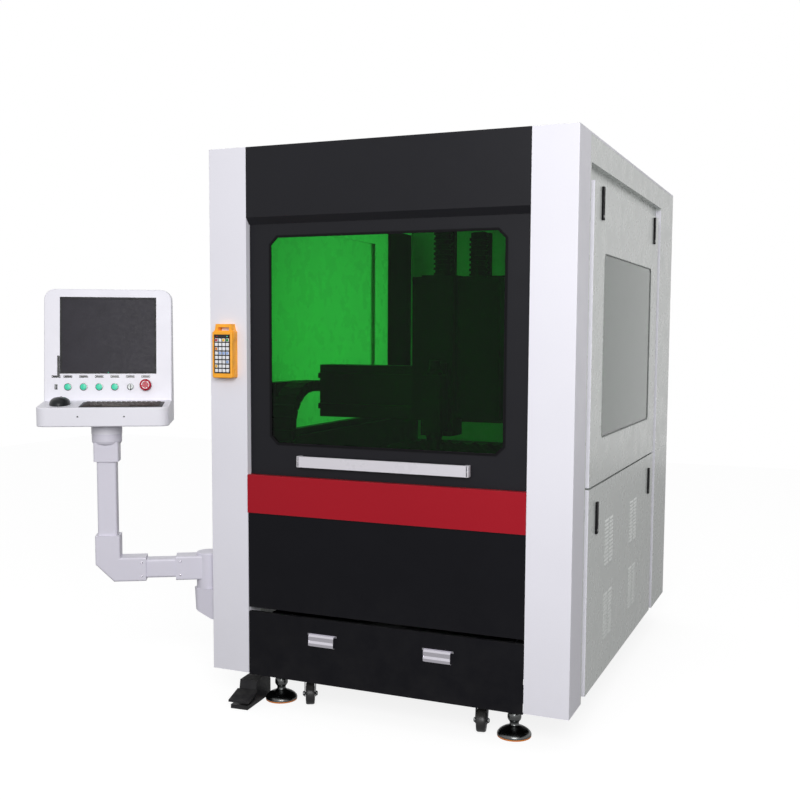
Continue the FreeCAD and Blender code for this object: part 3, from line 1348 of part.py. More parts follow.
def make_mouse():
    # a low rounded shell that rests on the tray
    body = doc.addObject("PartDesign::Body", "mouse")
    place_on_arm(body)
    front = "(tray_deep/2 - mouse_long/2)"
    outline = rect("mouse_x - mouse_wide/2", front, "mouse_x + mouse_wide/2",
                   f"{front} + mouse_long")
    grow(body, on_tray(body, [outline], "seat"), "mouse_tall")
    soften(body, "0.42*mouse_wide", lambda edge: abs(edge.Length - value("mouse_tall")) < 0.01)
    soften(body, "0.5*mouse_tall", lambda edge: edge.BoundBox.ZMin
           > value(f"{TRAY_EDGE} + 0.8*mouse_tall"))
    keep(body, "mouse")


def make_controls():
    for number in range(4):
        body = doc.addObject("PartDesign::Body", f"push_button_{number + 1}")
        place_on_arm(body)
        x = button_x(number)
        grow(body, on_panel(body, [(x, "button_row", "button_radius - 2.5")], "-control_deep"),
             "control_deep")
        grow(body, on_panel(body, [(x, "button_row", "button_radius")], "-3"), "button_proud + 3")
        keep(body, f"push_button_{number + 1}")
    key = doc.addObject("PartDesign::Body", "key_switch")
    place_on_arm(key)
    x, row = button_x(4), "button_row"
    grow(key, on_panel(key, [(x, row, "key_barrel")], "-control_deep"), "control_deep + 4")
    for half_tall, start, length in (("4", "3", "9"), ("11", "11", "15")):
        blade = rect(f"{x} - key_half", f"{row} - {half_tall}", f"{x} + key_half",
                     f"{row} + {half_tall}")
        grow(key, on_panel(key, [blade], start), length)
    keep(key, "key_switch")
    stop = doc.addObject("PartDesign::Body", "emergency_stop")
    place_on_arm(stop)
    x, row = button_x(5), "button_row + stop_rise"
    grow(stop, on_panel(stop, [(x, row, "stop_stem")], "-control_deep"), "control_deep + 9")
    grow(stop, on_panel(stop, [(x, row, "stop_radius")], "8"), "12")
    soften(stop, "5", lambda edge: edge.Length > value("6*stop_radius")
           and edge.BoundBox.Center.y < value(f"{TRAY_BACK} - 6"))
    keep(stop, "emergency_stop")


def make_remote():
    # a hand-held remote with a carrying loop, held flat on the left column by its magnet
    body = doc.addObject("PartDesign::Body", "remote_case")
    place(body, REMOTE_X, "0")
    w, low, top, shoulder = "remote_wide/2", "remote_low", "remote_top", "remote_shoulder"
    outline = [(f"-{w}", low), (w, low), (w, f"{shoulder} - 2"), (f"{w} - 6", f"{shoulder} + 5"),
               (f"{w} - 9", top), (f"-{w} + 9", top), (f"-{w} + 6", f"{shoulder} + 5"),
               (f"-{w}", f"{shoulder} - 2")]
    add(body, "XZ_Plane", [outline], "-remote_deep", "0")
    cut(body, "XZ_Plane", [rect(f"-{w} - 1", f"{shoulder} - 3", f"{w} + 1", f"{top} + 1")],
        "-remote_deep - 1", "-remote_deep + 10")
    cut(body, "XZ_Plane", [rect(f"-{w} + 18", f"{shoulder} + 2", f"{w} - 18", f"{shoulder} + 13")],
        "-remote_deep", "1")
    soften(body, "6", lambda edge: spans(edge, "y") and at(edge, z=low))
    keypad = rect("-keypad_wide/2", "keypad_low", "keypad_wide/2", "keypad_low + keypad_tall")
    cut(body, "XZ_Plane", [keypad], "-remote_deep - 1", "-remote_deep + keypad_set")
    soften(body, "4", lambda edge: spans(edge, "z") and at(edge, y="-remote_deep")
           and abs(edge.BoundBox.Center.x) > value("keypad_wide/2 + 2"))
    keep(body, "remote_case")
    pad = doc.addObject("PartDesign::Body", "remote_keypad")
    place(pad, REMOTE_X, "0")
    face = "(-remote_deep + 1)"
    mat = rect("-keypad_wide/2 + seat", "keypad_low + seat", "keypad_wide/2 - seat",
               "keypad_low + keypad_tall - seat")
    add(pad, "XZ_Plane", [mat], face, "-remote_deep + keypad_set")
    x, z = "(-1.5*key_pitch_x)", "(keypad_low + 4.5 + key_size/2)"
    key = rect(f"{x} - key_size/2", f"{z} - key_size/2", f"{x} + key_size/2", f"{z} + key_size/2")
    cap = add(pad, "XZ_Plane", [key], f"{face} - 2", face)
    repeat(pad, cap, "X_Axis", "key_pitch_x", 4, "Z_Axis", "key_pitch_z", 8)
    keep(pad, "remote_keypad")


def make_foot_switch():
    housing = doc.addObject("PartDesign::Body", "foot_switch_housing")
    place(housing, SWITCH_X, "switch_y", "0", "switch_turn")
    base, high, hood = "switch_base", "switch_high", "hood_front"
    side = [("0", "0"), ("switch_long", "0"), ("switch_long", f"{high} - 22"),
            ("switch_long - 18", high), (f"{hood} + 7", high), (f"{hood} + 1", f"{high} - 28"),
            (hood, base), ("0", base)]
    half = "switch_wide/2"
    add(housing, "YZ_Plane", [side], f"-{half}", half)
    # two lugs hold the round pin that the pedal rocks on
    pin_y, pin_z, radius = f"({hood} - 6)", "(pedal_high - pivot_drop)", "pivot_radius"
    lug = rect(f"{pin_y} - {radius}", f"{base} - 1", f"{pin_y} + {radius}", pin_z)
    for x in (f"-{half} + 8", f"{half} - 12"):
        add(housing, "YZ_Plane", [lug], x, f"{x} + 4")
    add(housing, "YZ_Plane", [(pin_y, pin_z, radius)], f"-{half} + 8", f"{half} - 8")
    add(housing, "XZ_Plane", [("0", "26", "8")], "switch_long - 1", "switch_long + 14")
    keep(housing, "foot_switch_housing")
    pedal = doc.addObject("PartDesign::Body", "foot_pedal")
    place(pedal, SWITCH_X, "switch_y", "0", "switch_turn")
    tread = [("-6", "pedal_high - 26"), ("-6", "pedal_high - 19"),
             (f"{hood} - 0.6", "pedal_high"), (f"{hood} - 0.6", "pedal_high - 8")]
    add(pedal, "YZ_Plane", [tread], "-pedal_wide/2", "pedal_wide/2")
    keep(pedal, "foot_pedal")


def check_and_write():
    doc.recompute()
    broken = [item.Label for item in doc.Objects
              if "Invalid" in item.State or "Error" in item.State]
    if broken:
        raise RuntimeError(f"failed objects: {broken}")
    os.makedirs("parts", exist_ok=True)
    for item in nodes:
        shape = item.Shape
        if shape.isNull() or not shape.isValid() or not shape.Solids:
            raise RuntimeError(f"{item.Label} has no valid solid")
    for item in nodes:
        item.Shape.exportStep(f"parts/{item.Label}.step")
    print(f"{len(nodes)} nodes written")


def main():
    make_columns()
    make_fascia()
    make_band()
    make_lower_panel()
    make_roof()
    make_side_frames()
    make_upper_panels()
    make_lower_panels()
    make_rear_panel()
    make_door()
    make_door_rails()
    make_pull_bar()
    make_drawer()
    make_drawer_pulls()
    make_base_frame()
    make_bed()
    make_slat_table()
    make_gantry()
    make_carriage()
    make_cutting_head()
    make_cable_chain()
    make_units()
    make_feet()
    make_castors()
    make_arm_bracket()
    make_arm_swivel()
    make_arm_tubes()
    make_arm_elbow()
    make_arm_coupling()
    make_console_housing()
    make_screen()
    make_keyboard()
    make_mouse()
    make_controls()
    make_remote()
    make_foot_switch()
    check_and_write()


main()
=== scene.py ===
import json
import math
import bmesh
import bpy
from mathutils import Matrix, Vector


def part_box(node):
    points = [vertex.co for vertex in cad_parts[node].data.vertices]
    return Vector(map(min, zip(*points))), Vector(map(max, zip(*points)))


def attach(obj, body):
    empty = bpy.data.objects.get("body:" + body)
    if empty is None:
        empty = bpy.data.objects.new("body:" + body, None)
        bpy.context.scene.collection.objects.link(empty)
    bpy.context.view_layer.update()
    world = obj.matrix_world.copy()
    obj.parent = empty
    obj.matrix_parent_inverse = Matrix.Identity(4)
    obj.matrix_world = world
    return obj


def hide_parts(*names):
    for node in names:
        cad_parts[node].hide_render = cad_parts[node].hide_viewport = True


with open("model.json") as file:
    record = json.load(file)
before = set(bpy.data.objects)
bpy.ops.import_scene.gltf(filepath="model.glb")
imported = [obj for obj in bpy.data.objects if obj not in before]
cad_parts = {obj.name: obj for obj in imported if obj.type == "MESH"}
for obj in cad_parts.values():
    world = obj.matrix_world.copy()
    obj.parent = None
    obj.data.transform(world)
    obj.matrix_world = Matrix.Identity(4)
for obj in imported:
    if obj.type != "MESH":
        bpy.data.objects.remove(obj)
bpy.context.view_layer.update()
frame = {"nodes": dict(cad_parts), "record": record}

nodes = frame["nodes"]
print("laser cutter: packed frame loaded,", len(nodes), "nodes")


# node tree helpers

def addNode(tree, kind, inputs=None, **settings):
    node = tree.nodes.new(kind)
    for name, value in settings.items():
        setattr(node, name, value)
    for name, value in (inputs or {}).items():
        if isinstance(value, bpy.types.NodeSocket):
            tree.links.new(value, node.inputs[name])
        else:
            node.inputs[name].default_value = value
    return node


def feed(tree, node, **values):
    for name, value in values.items():
        tree.links.new(value, node.inputs[name.replace("_", " ")])


def mathNode(tree, operation, first, second=0.0, clamp=False):
    return addNode(tree, "ShaderNodeMath", {0: first, 1: second}, operation=operation,
                   use_clamp=clamp).outputs[0]


def mixColour(tree, mask, first, second, blend="MIX"):
    return addNode(tree, "ShaderNodeMix", {0: mask, 6: first, 7: second}, data_type="RGBA",
                   blend_type=blend).outputs[2]


def spread(tree, value, low, high, toLow=0.0, toHigh=1.0):
    return addNode(tree, "ShaderNodeMapRange", {"Value": value, "From Min": low, "From Max": high,
                                                "To Min": toLow, "To Max": toHigh}).outputs["Result"]


def rgb(red, green, blue):
    return (red, green, blue, 1.0)


def newGroup(name, inputs, outputs):
    # a group with its inputs' first values; only the socket named Colour holds a colour
    group = bpy.data.node_groups.new(name, "ShaderNodeTree")
    kinds = {"Colour": "NodeSocketColor"}
    for label, value in inputs.items():
        socket = group.interface.new_socket(label, in_out="INPUT",
                                            socket_type=kinds.get(label, "NodeSocketFloat"))
        socket.default_value = value
    for label in outputs:
        group.interface.new_socket(label, in_out="OUTPUT",
                                   socket_type=kinds.get(label, "NodeSocketFloat"))
    return group, group.nodes.new("NodeGroupInput").outputs, group.nodes.new("NodeGroupOutput")


def objectPlace(tree):
    return addNode(tree, "ShaderNodeTexCoord").outputs["Object"]


def noise(tree, scale, detail=2.0, rough=0.5, stretch=None):
    place = objectPlace(tree)
    if stretch:
        place = addNode(tree, "ShaderNodeMapping", {"Vector": place, "Scale": stretch}).outputs[0]
    return addNode(tree, "ShaderNodeTexNoise", {"Vector": place, "Scale": scale, "Detail": detail,
                                                "Roughness": rough}).outputs["Fac"]


def shaded(tree, colour, shade):
    # a colour made darker or lighter by a value round 1
    grey = addNode(tree, "ShaderNodeCombineColor", {0: shade, 1: shade, 2: shade}).outputs[0]
    return mixColour(tree, 1.0, colour, grey, "MULTIPLY")


# effects that several finishes share

surfaceOutputs = ("Colour", "Roughness", "Height")


def buildPowderCoat():
    tree, enter, leave = newGroup("powderCoat", {"Colour": rgb(0.8, 0.8, 0.8), "Variation": 0.04,
                                                 "Roughness": 0.4, "Peel scale": 420.0}, surfaceOutputs)
    shade = mathNode(tree, "ADD", spread(tree, noise(tree, 2.3, 3.0), 0.3, 0.7, -0.5, 0.5),
                     spread(tree, noise(tree, 900.0, 1.0), 0.35, 0.65, -0.35, 0.35))
    shade = mathNode(tree, "ADD", mathNode(tree, "MULTIPLY", shade, enter["Variation"]), 1.0)
    rub = spread(tree, noise(tree, 14.0, 4.0, 0.6), 0.3, 0.75, -0.05, 0.07)
    feed(tree, leave, Colour=shaded(tree, enter["Colour"], shade),
         Roughness=mathNode(tree, "ADD", enter["Roughness"], rub, True),
         Height=noise(tree, enter["Peel scale"], 1.5))
    return tree


def buildEdgeWear():
    tree, enter, leave = newGroup("edgeWear", {"Width": 0.0015, "Amount": 0.5}, ("Mask",))
    rounded = addNode(tree, "ShaderNodeBevel", {"Radius": enter["Width"]}, samples=4).outputs[0]
    true = addNode(tree, "ShaderNodeNewGeometry").outputs["Normal"]
    facing = addNode(tree, "ShaderNodeVectorMath", {0: rounded, 1: true}, operation="DOT_PRODUCT")
    turned = spread(tree, facing.outputs["Value"], 0.995, 0.86)
    patchy = spread(tree, noise(tree, 60.0, 5.0, 0.65), 0.42, 0.62)
    mask = mathNode(tree, "MULTIPLY", turned, patchy, True)
    feed(tree, leave, Mask=mathNode(tree, "MULTIPLY", mask, enter["Amount"], True))
    return tree


def buildDust():
    # lies on what faces up, and splashes a little way up from the floor
    tree, enter, leave = newGroup("settledDust", {"Amount": 0.3, "Splash height": 0.35}, ("Mask",))
    normal = addNode(tree, "ShaderNodeNewGeometry").outputs["Normal"]
    up = addNode(tree, "ShaderNodeSeparateXYZ", {0: normal}).outputs["Z"]
    lying = spread(tree, up, 0.4, 0.95)
    height = addNode(tree, "ShaderNodeSeparateXYZ", {0: objectPlace(tree)}).outputs["Z"]
    low = mathNode(tree, "DIVIDE", height, enter["Splash height"])
    low = mathNode(tree, "MULTIPLY", mathNode(tree, "SUBTRACT", 1.0, low, True), 0.5)
    patchy = spread(tree, noise(tree, 18.0, 6.0, 0.6), 0.35, 0.7)
    mask = mathNode(tree, "MULTIPLY", mathNode(tree, "ADD", lying, low, True), patchy)
    feed(tree, leave, Mask=mathNode(tree, "MULTIPLY", mask, enter["Amount"], True))
    return tree


def buildBrushed():
    tree, enter, leave = newGroup("brushedGrain", {"Colour": rgb(0.6, 0.6, 0.6), "Roughness": 0.3,
                                                   "Contrast": 0.15}, surfaceOutputs)
    lines = noise(tree, 55.0, 3.0, 0.6, (1.0, 16.0, 16.0))
    blots = noise(tree, 30.0, 4.0)
    streak = mathNode(tree, "MULTIPLY", spread(tree, lines, 0.3, 0.7, -0.5, 0.5), enter["Contrast"])
    rub = mathNode(tree, "ADD", spread(tree, lines, 0.3, 0.7, -0.06, 0.06),
                   spread(tree, blots, 0.3, 0.7, -0.06, 0.08))
    feed(tree, leave, Colour=shaded(tree, enter["Colour"], mathNode(tree, "ADD", 1.0, streak)),
         Roughness=mathNode(tree, "ADD", enter["Roughness"], rub, True), Height=lines)
    return tree


def buildMoulded():
    tree, enter, leave = newGroup("mouldedGrain", {"Colour": rgb(0.1, 0.1, 0.1), "Roughness": 0.5,
                                                   "Grain scale": 1400.0}, surfaceOutputs)
    grain = addNode(tree, "ShaderNodeTexVoronoi",
                    {"Vector": objectPlace(tree), "Scale": enter["Grain scale"]})
    shade = spread(tree, noise(tree, 22.0, 4.0), 0.3, 0.7, 0.9, 1.1)
    rub = spread(tree, noise(tree, 90.0, 4.0), 0.3, 0.7, -0.06, 0.06)
    feed(tree, leave, Colour=shaded(tree, enter["Colour"], shade),
         Roughness=mathNode(tree, "ADD", enter["Roughness"], rub, True),
         Height=grain.outputs["Distance"])
    return tree


powderCoat = buildPowderCoat()
edgeWear = buildEdgeWear()
settledDust = buildDust()
brushedGrain = buildBrushed()
mouldedGrain = buildMoulded()


# materials

def startMaterial(name, **plain):
    material = bpy.data.materials.new(name)
    material.use_nodes = True
    tree = material.node_tree
    shader = tree.nodes["Principled BSDF"]
    for socket, value in plain.items():
        shader.inputs[socket.replace("_", " ")].default_value = value
    return material, tree, shader


# each kind of surface: its effect and that effect's own inputs, then worn edge, splash and bump in
# metres, and how much dust dulls it
paintKind = {"effect": powderCoat, "own": {"Variation": "variation", "Peel scale": "peel"},
             "edge": 0.0015, "splash": 0.5, "bump": 0.0004, "dustDull": 0.3,
             "plain": {"Metallic": 0.0, "IOR": 1.5}}
metalKind = {"effect": brushedGrain, "own": {"Contrast": "contrast"}, "splash": 0.1, "bump": 0.0003,
             "plain": {"Metallic": 1.0}}
plasticKind = {"effect": mouldedGrain, "own": {"Grain scale": "grain"}, "edge": 0.0008, "splash": 0.12,
               "bump": 0.0002, "plain": {"Metallic": 0.0, "IOR": 1.46}}


def surfaceMaterial(name, look, kind):
    material, tree, shader = startMaterial(name, **kind["plain"])
    if "gloss" in look:
        shader.inputs["Specular IOR Level"].default_value = look["gloss"]
    own = {socket: look[value] for socket, value in kind["own"].items()}
    base = addNode(tree, "ShaderNodeGroup", {"Colour": look["colour"], "Roughness": look["roughness"],
                                             **own}, node_tree=kind["effect"]).outputs
    colour, rough = base["Colour"], base["Roughness"]
    if "edge" in kind:
        worn = addNode(tree, "ShaderNodeGroup", {"Width": kind["edge"], "Amount": look["wear"]},
                       node_tree=edgeWear).outputs["Mask"]
        colour = mixColour(tree, worn, colour, look["wornColour"])
    dust = addNode(tree, "ShaderNodeGroup", {"Amount": look["dust"], "Splash height": kind["splash"]},
                   node_tree=settledDust).outputs["Mask"]
    colour = mixColour(tree, dust, colour, look["dustColour"])
    if "dustDull" in kind:
        rough = mathNode(tree, "ADD", rough, mathNode(tree, "MULTIPLY", dust, kind["dustDull"]), True)
    bumps = addNode(tree, "ShaderNodeBump", {"Height": base["Height"], "Strength": look["bump"],
                                             "Distance": kind["bump"]}).outputs[0]
    feed(tree, shader, Base_Color=colour, Roughness=rough, Normal=bumps)
    return material


def tintedGlass(name, look):
    # lamps shine through it: its shadow rays pass a plain tinted sheet
    material, tree, shader = startMaterial(name, Metallic=0.0, IOR=look["ior"],
                                           Transmission_Weight=1.0)
    shade = spread(tree, noise(tree, 5.0, 4.0, 0.6), 0.3, 0.7, 0.0, 0.12)
    smear = spread(tree, noise(tree, 9.0, 5.0, 0.6), 0.35, 0.8, 0.0, look["smear"])
    feed(tree, shader, Base_Color=mixColour(tree, shade, look["colour"], look["cloudColour"]),
         Roughness=smear)
    path = addNode(tree, "ShaderNodeLightPath").outputs["Is Shadow Ray"]
    clear = addNode(tree, "ShaderNodeBsdfTransparent", {"Color": look["lampColour"]})
    both = addNode(tree, "ShaderNodeMixShader", {0: path, 1: shader.outputs[0], 2: clear.outputs[0]})
    feed(tree, tree.nodes["Material Output"], Surface=both.outputs[0])
    return material


# every look names the one it starts from and says what differs
paints = {
    "whitePaint": ("", {"gloss": 0.4, "variation": 0.03, "roughness": 0.38, "peel": 420.0, "wear": 0.25,
                        "wornColour": rgb(0.7, 0.7, 0.7), "dust": 0.12,
                        "dustColour": rgb(0.46, 0.44, 0.41), "bump": 0.12,
                        "colour": rgb(0.82, 0.81, 0.88)}),
    # a darker, greener copy of the white paint for the side and rear sheets: painted shade for faces
    # that turn away from the key lamp
    "shadedSidePaint": ("whitePaint", {"colour": rgb(0.68, 0.71, 0.69), "roughness": 0.28, "gloss": 0.5,
                                 "dust": 0.04, "variation": 0.008, "bump": 0.002, "wear": 0.1}),
    "darkPaint": ("whitePaint", {"colour": rgb(0.0085, 0.0085, 0.0115), "gloss": 0.18,
                                 "roughness": 0.42, "wornColour": rgb(0.12, 0.12, 0.12),
                                 "variation": 0.12, "dust": 0.03, "bump": 0.2}),
    "lowDarkPaint": ("darkPaint", {"colour": rgb(0.0045, 0.0045, 0.0065), "gloss": 0.11}),
    "redPaint": ("whitePaint", {"colour": rgb(0.36, 0.006, 0.016), "gloss": 0.2, "roughness": 0.35,
                                "wornColour": rgb(0.5, 0.1, 0.1), "dust": 0.05}),
    "barPaint": ("whitePaint", {"colour": rgb(0.68, 0.66, 0.71), "roughness": 0.3}),
    "consolePaint": ("whitePaint", {"roughness": 0.42, "peel": 700.0}),
    "armPaint": ("whitePaint", {"colour": rgb(0.71, 0.69, 0.78), "roughness": 0.34, "dust": 0.08}),
    "framePaint": ("whitePaint", {"colour": rgb(0.012, 0.0125, 0.014), "gloss": 0.1,
                                  "roughness": 0.55, "wornColour": rgb(0.1, 0.1, 0.1), "dust": 0.05}),
    "housingPaint": ("whitePaint", {"colour": rgb(0.006, 0.007, 0.007), "gloss": 0.06,
                                    "roughness": 0.45, "wornColour": rgb(0.03, 0.03, 0.03),
                                    "dust": 0.03}),
}
metals = {
    "castBed": ("", {"colour": rgb(0.03, 0.031, 0.032), "roughness": 0.45, "contrast": 0.2, "dust": 0.3,
                     "dustColour": rgb(0.03, 0.027, 0.025), "bump": 0.2}),
    "beamAlloy": ("castBed", {"colour": rgb(0.018, 0.019, 0.02), "roughness": 0.38, "contrast": 0.12,
                              "dust": 0.1, "bump": 0.1}),
    "brightSteel": ("", {"colour": rgb(0.5, 0.5, 0.51), "roughness": 0.3, "contrast": 0.25, "dust": 0.1,
                         "dustColour": rgb(0.2, 0.18, 0.16), "bump": 0.15}),
    "slatSteel": ("brightSteel", {"colour": rgb(0.06, 0.056, 0.052), "roughness": 0.5, "dust": 0.3,
                                  "dustColour": rgb(0.05, 0.045, 0.04)}),
    "zincPlate": ("", {"colour": rgb(0.62, 0.60, 0.66), "roughness": 0.17, "contrast": 0.1,
                       "dust": 0.05, "dustColour": rgb(0.3, 0.28, 0.25), "bump": 0.05}),
    "darkChrome": ("zincPlate", {"colour": rgb(0.12, 0.125, 0.125), "roughness": 0.24}),
    "nozzleCopper": ("brightSteel", {"colour": rgb(0.72, 0.3, 0.12), "roughness": 0.28, "dust": 0.05}),
}
plastics = {
    "blackPlastic": ("", {"gloss": 0.25, "colour": rgb(0.012, 0.012, 0.014), "roughness": 0.5,
                          "grain": 1400.0, "wear": 0.2, "wornColour": rgb(0.09, 0.09, 0.09),
                          "dust": 0.12, "dustColour": rgb(0.32, 0.31, 0.29), "bump": 0.15}),
    "glossBlack": ("blackPlastic", {"colour": rgb(0.008, 0.008, 0.010), "gloss": 0.5,
                                    "roughness": 0.2, "dust": 0.02, "bump": 0.03}),
    "mouseBlack": ("glossBlack", {"colour": rgb(0.012, 0.014, 0.016), "gloss": 0.25,
                                  "roughness": 0.35}),
    "blackRubber": ("blackPlastic", {"colour": rgb(0.006, 0.006, 0.007), "gloss": 0.1,
                                     "roughness": 0.75}),
    "screenGlass": ("blackPlastic", {"colour": rgb(0.03, 0.028, 0.036), "gloss": 0.08,
                                     "roughness": 0.3, "bump": 0.01, "dust": 0.0, "wear": 0.0}),
    "greenKey": ("blackPlastic", {"colour": rgb(0.06, 0.66, 0.42), "roughness": 0.2, "bump": 0.02,
                                  "dust": 0.0, "wear": 0.0}),
    "redKey": ("greenKey", {"colour": rgb(0.42, 0.008, 0.03)}),
    "yellowKey": ("greenKey", {"colour": rgb(0.85, 0.5, 0.03)}),
    "blueKey": ("greenKey", {"colour": rgb(0.3, 0.45, 0.8)}),
    "leafKey": ("greenKey", {"colour": rgb(0.02, 0.25, 0.05)}),
    "whiteKey": ("greenKey", {"colour": rgb(0.84, 0.85, 0.88), "roughness": 0.3}),
    "greyKey": ("whiteKey", {"colour": rgb(0.13, 0.11, 0.105), "roughness": 0.5, "gloss": 0.1}),
    "brownKey": ("greyKey", {"colour": rgb(0.06, 0.045, 0.042)}),
    "greyRubber": ("blackRubber", {"colour": rgb(0.36, 0.38, 0.37), "roughness": 0.6}),
    "orangeCase": ("blackPlastic", {"colour": rgb(1.0, 0.43, 0.035), "gloss": 0.35, "roughness": 0.38,
                                    "dust": 0.0, "wornColour": rgb(1.0, 0.5, 0.12)}),
    "orangePlate": ("orangeCase", {"colour": rgb(0.75, 0.22, 0.01)}),
    "orangePad": ("blackPlastic", {"colour": rgb(0.78, 0.23, 0.02), "roughness": 0.55, "dust": 0.2}),
    "wheelBlack": ("blackPlastic", {"colour": rgb(0.010, 0.010, 0.011), "gloss": 0.4,
                                    "roughness": 0.35, "dust": 0.25}),
    "greyPlastic": ("blackPlastic", {"colour": rgb(0.008, 0.008, 0.009)}),
}
glasses = {
    "greenWindow": {"ior": 1.18, "colour": rgb(0.03, 0.6, 0.06), "cloudColour": rgb(0.04, 0.55, 0.075),
                    "smear": 0.004, "lampColour": rgb(0.03, 0.16, 0.05)},
    "sideGlass": {"ior": 1.2, "colour": rgb(0.30, 0.34, 0.32), "cloudColour": rgb(0.27, 0.31, 0.29),
                  "smear": 0.03, "lampColour": rgb(0.16, 0.19, 0.17)},
}
looks = {}
materials = {}
for kind, group in ((paintKind, paints), (metalKind, metals), (plasticKind, plastics)):
    for name, (start, changes) in group.items():
        looks[name] = {**looks.get(start, {}), **changes}
        materials[name] = surfaceMaterial(name, looks[name], kind)
for name, look in glasses.items():
    materials[name] = tintedGlass(name, look)

finishes = {
    "white_paint": "whitePaint", "dark_paint": "darkPaint", "red_paint": "redPaint",
    "light_grey_paint": "barPaint", "console_paint": "consolePaint", "arm_paint": "armPaint",
    "frame_paint": "framePaint", "steel": "brightSteel", "cast_bed": "castBed",
    "aluminium_beam": "beamAlloy", "green_glass": "greenWindow", "dark_glass": "sideGlass",
    "black_plastic": "blackPlastic", "screen_glass": "screenGlass", "green_button": "greenKey",
    "red_button": "redKey", "orange_case": "orangeCase", "orange_pad": "orangePad",
    "wheel_polymer": "wheelBlack", "zinc": "zincPlate", "grey_plastic": "greyPlastic",
}
ownFinishes = {
    "rear_panel": "shadedSidePaint", "lower_front_panel": "lowDarkPaint", "waste_drawer": "lowDarkPaint",
    "x_carriage": "housingPaint", "slat_table": "slatSteel", "table_rim": "slatSteel",
    "cutting_head": "housingPaint", "key_switch": "darkChrome", "levelling_feet": "darkChrome",
    "screen": "blackPlastic", "foot_switch_housing": "blackPlastic", "cable_chain": "housingPaint",
}
# the side sheets take the side paint, with its painted shade
for side in ("left", "right"):
    for sheet in ("side_frame", "upper_panel", "lower_panel"):
        ownFinishes[f"{sheet}_{side}"] = "shadedSidePaint"
    for end in ("front", "rear"):
        ownFinishes[f"castor_fork_{end}_{side}"] = "blackPlastic"
for part in frame["record"]["subparts"]:
    finish = ownFinishes.get(part["node"], finishes[part["material_slot"]])
    nodes[part["node"]].material_slots[0].material = materials[finish]
print("laser cutter: finishes on the", len(nodes), "nodes")


# mesh helpers: every piece is drawn in millimetres in the frame of the face it sits on,
# with x across the face, y up it and z out of it

millimetres = Matrix.Scale(0.001, 4)


def faceFrame(origin, across, up, out):
    turn = Matrix((across, up, out)).transposed().to_4x4()
    return Matrix.Translation(Vector(origin) / 1000) @ turn @ millimetres


def addBlock(shape, low, high, rounding=0.0, segments=2, finish=0):
    size = [high[axis] - low[axis] for axis in range(3)]
    middle = [(high[axis] + low[axis]) / 2 for axis in range(3)]
    place = Matrix.Translation(middle) @ Matrix.Diagonal((*size, 1.0))
    corners = bmesh.ops.create_cube(shape, size=1.0, matrix=place)["verts"]
    for face in {face for corner in corners for face in corner.link_faces}:
        face.material_index = finish
    if rounding:
        edges = list({edge for corner in corners for edge in corner.link_edges})
        bmesh.ops.bevel(shape, geom=edges, offset=rounding, segments=segments, profile=0.6,
                        affect="EDGES", clamp_overlap=True)


def joinRows(shape, rows, finish=0, closed=False):
    # a skin from each loop of points to the next, and if closed from the last to the first
    for first, second in zip(rows, rows[1:] + rows[:1] if closed else rows[1:]):
        for step in range(len(first)):
            after = (step + 1) % len(first)
            face = shape.faces.new((first[step], first[after], second[after], second[step]))
            face.material_index = finish


def addShell(shape, rows, finish=0):
    # a closed body whose first and last loops are its ends
    joinRows(shape, rows, finish)
    for row in (rows[0], rows[-1]):
        shape.faces.new(row).material_index = finish


def addLathe(shape, profile, place=(0, 0, 0), axis="z", steps=24, finish=0, ring=False):
    # profile entries are (radius, height) or (radius, height, "hex") for a six-sided section
    turns = {"z": Matrix.Identity(3), "x": Matrix(((0, 0, 1), (0, 1, 0), (-1, 0, 0))),
             "y": Matrix(((1, 0, 0), (0, 0, 1), (0, -1, 0)))}
    rows = []
    for radius, height, *kind in profile:
        row = []
        for step in range(steps):
            angle = 2 * math.pi * step / steps
            reach = radius
            if kind:
                reach = radius / math.cos((angle + math.pi / 6) % (math.pi / 3) - math.pi / 6)
            point = Vector((reach * math.cos(angle), reach * math.sin(angle), height))
            row.append(shape.verts.new(turns[axis] @ point + Vector(place)))
        rows.append(row)
    if ring:
        joinRows(shape, rows, finish, True)
    else:
        addShell(shape, rows, finish)


def addPrism(shape, outline, low, high, finish=0):
    addShell(shape, [[shape.verts.new((x, y, z)) for x, y in outline] for z in (low, high)], finish)


def addStrip(shape, outline, width, low, high, finish=0):
    # a closed band along a convex outline, "width" wide and inside it
    count = len(outline)
    lines = []
    for step in range(count):
        a, b = Vector(outline[step]), Vector(outline[(step + 1) % count])
        along = (b - a).normalized()
        lines.append((a + Vector((-along.y, along.x)) * width, along))
    inner = []
    for step in range(count):
        (p, d), (q, e) = lines[step - 1], lines[step]
        cross = d.x * e.y - d.y * e.x
        gap = q - p
        inner.append(p + d * ((gap.x * e.y - gap.y * e.x) / cross))
    rows = []
    for line, height in ((outline, low), (outline, high), (inner, high), (inner, low)):
        rows.append([shape.verts.new((point[0], point[1], height)) for point in line])
    joinRows(shape, rows, finish, True)


def roundedOutline(left, low, right, high, radius, steps=5):
    points = []
    for x, y, start in ((right - radius, low + radius, -90), (right - radius, high - radius, 0),
                        (left + radius, high - radius, 90), (left + radius, low + radius, 180)):
        for step in range(steps + 1):
            angle = math.radians(start + 90 * step / steps)
            points.append((x + radius * math.cos(angle), y + radius * math.sin(angle)))
    return points


def cutCorners(left, low, right, high, chamfer):
    c = chamfer
    return [(left + c, low), (right - c, low), (right, low + c), (right, high - c),
            (right - c, high), (left + c, high), (left, high - c), (left, low + c)]


def addScrews(shape, places, z, radius, finish=0):
    # button heads with a hexagon socket
    tall = radius * 0.55
    profile = [(radius, z), (radius, z + tall * 0.45), (radius * 0.82, z + tall * 0.85),
               (radius * 0.6, z + tall), (radius * 0.45, z + tall, "hex"),
               (radius * 0.45, z + tall * 0.4, "hex"), (radius * 0.1, z + tall * 0.3)]
    for x, y in places:
        addLathe(shape, profile, (x, y, 0), steps=18, finish=finish)


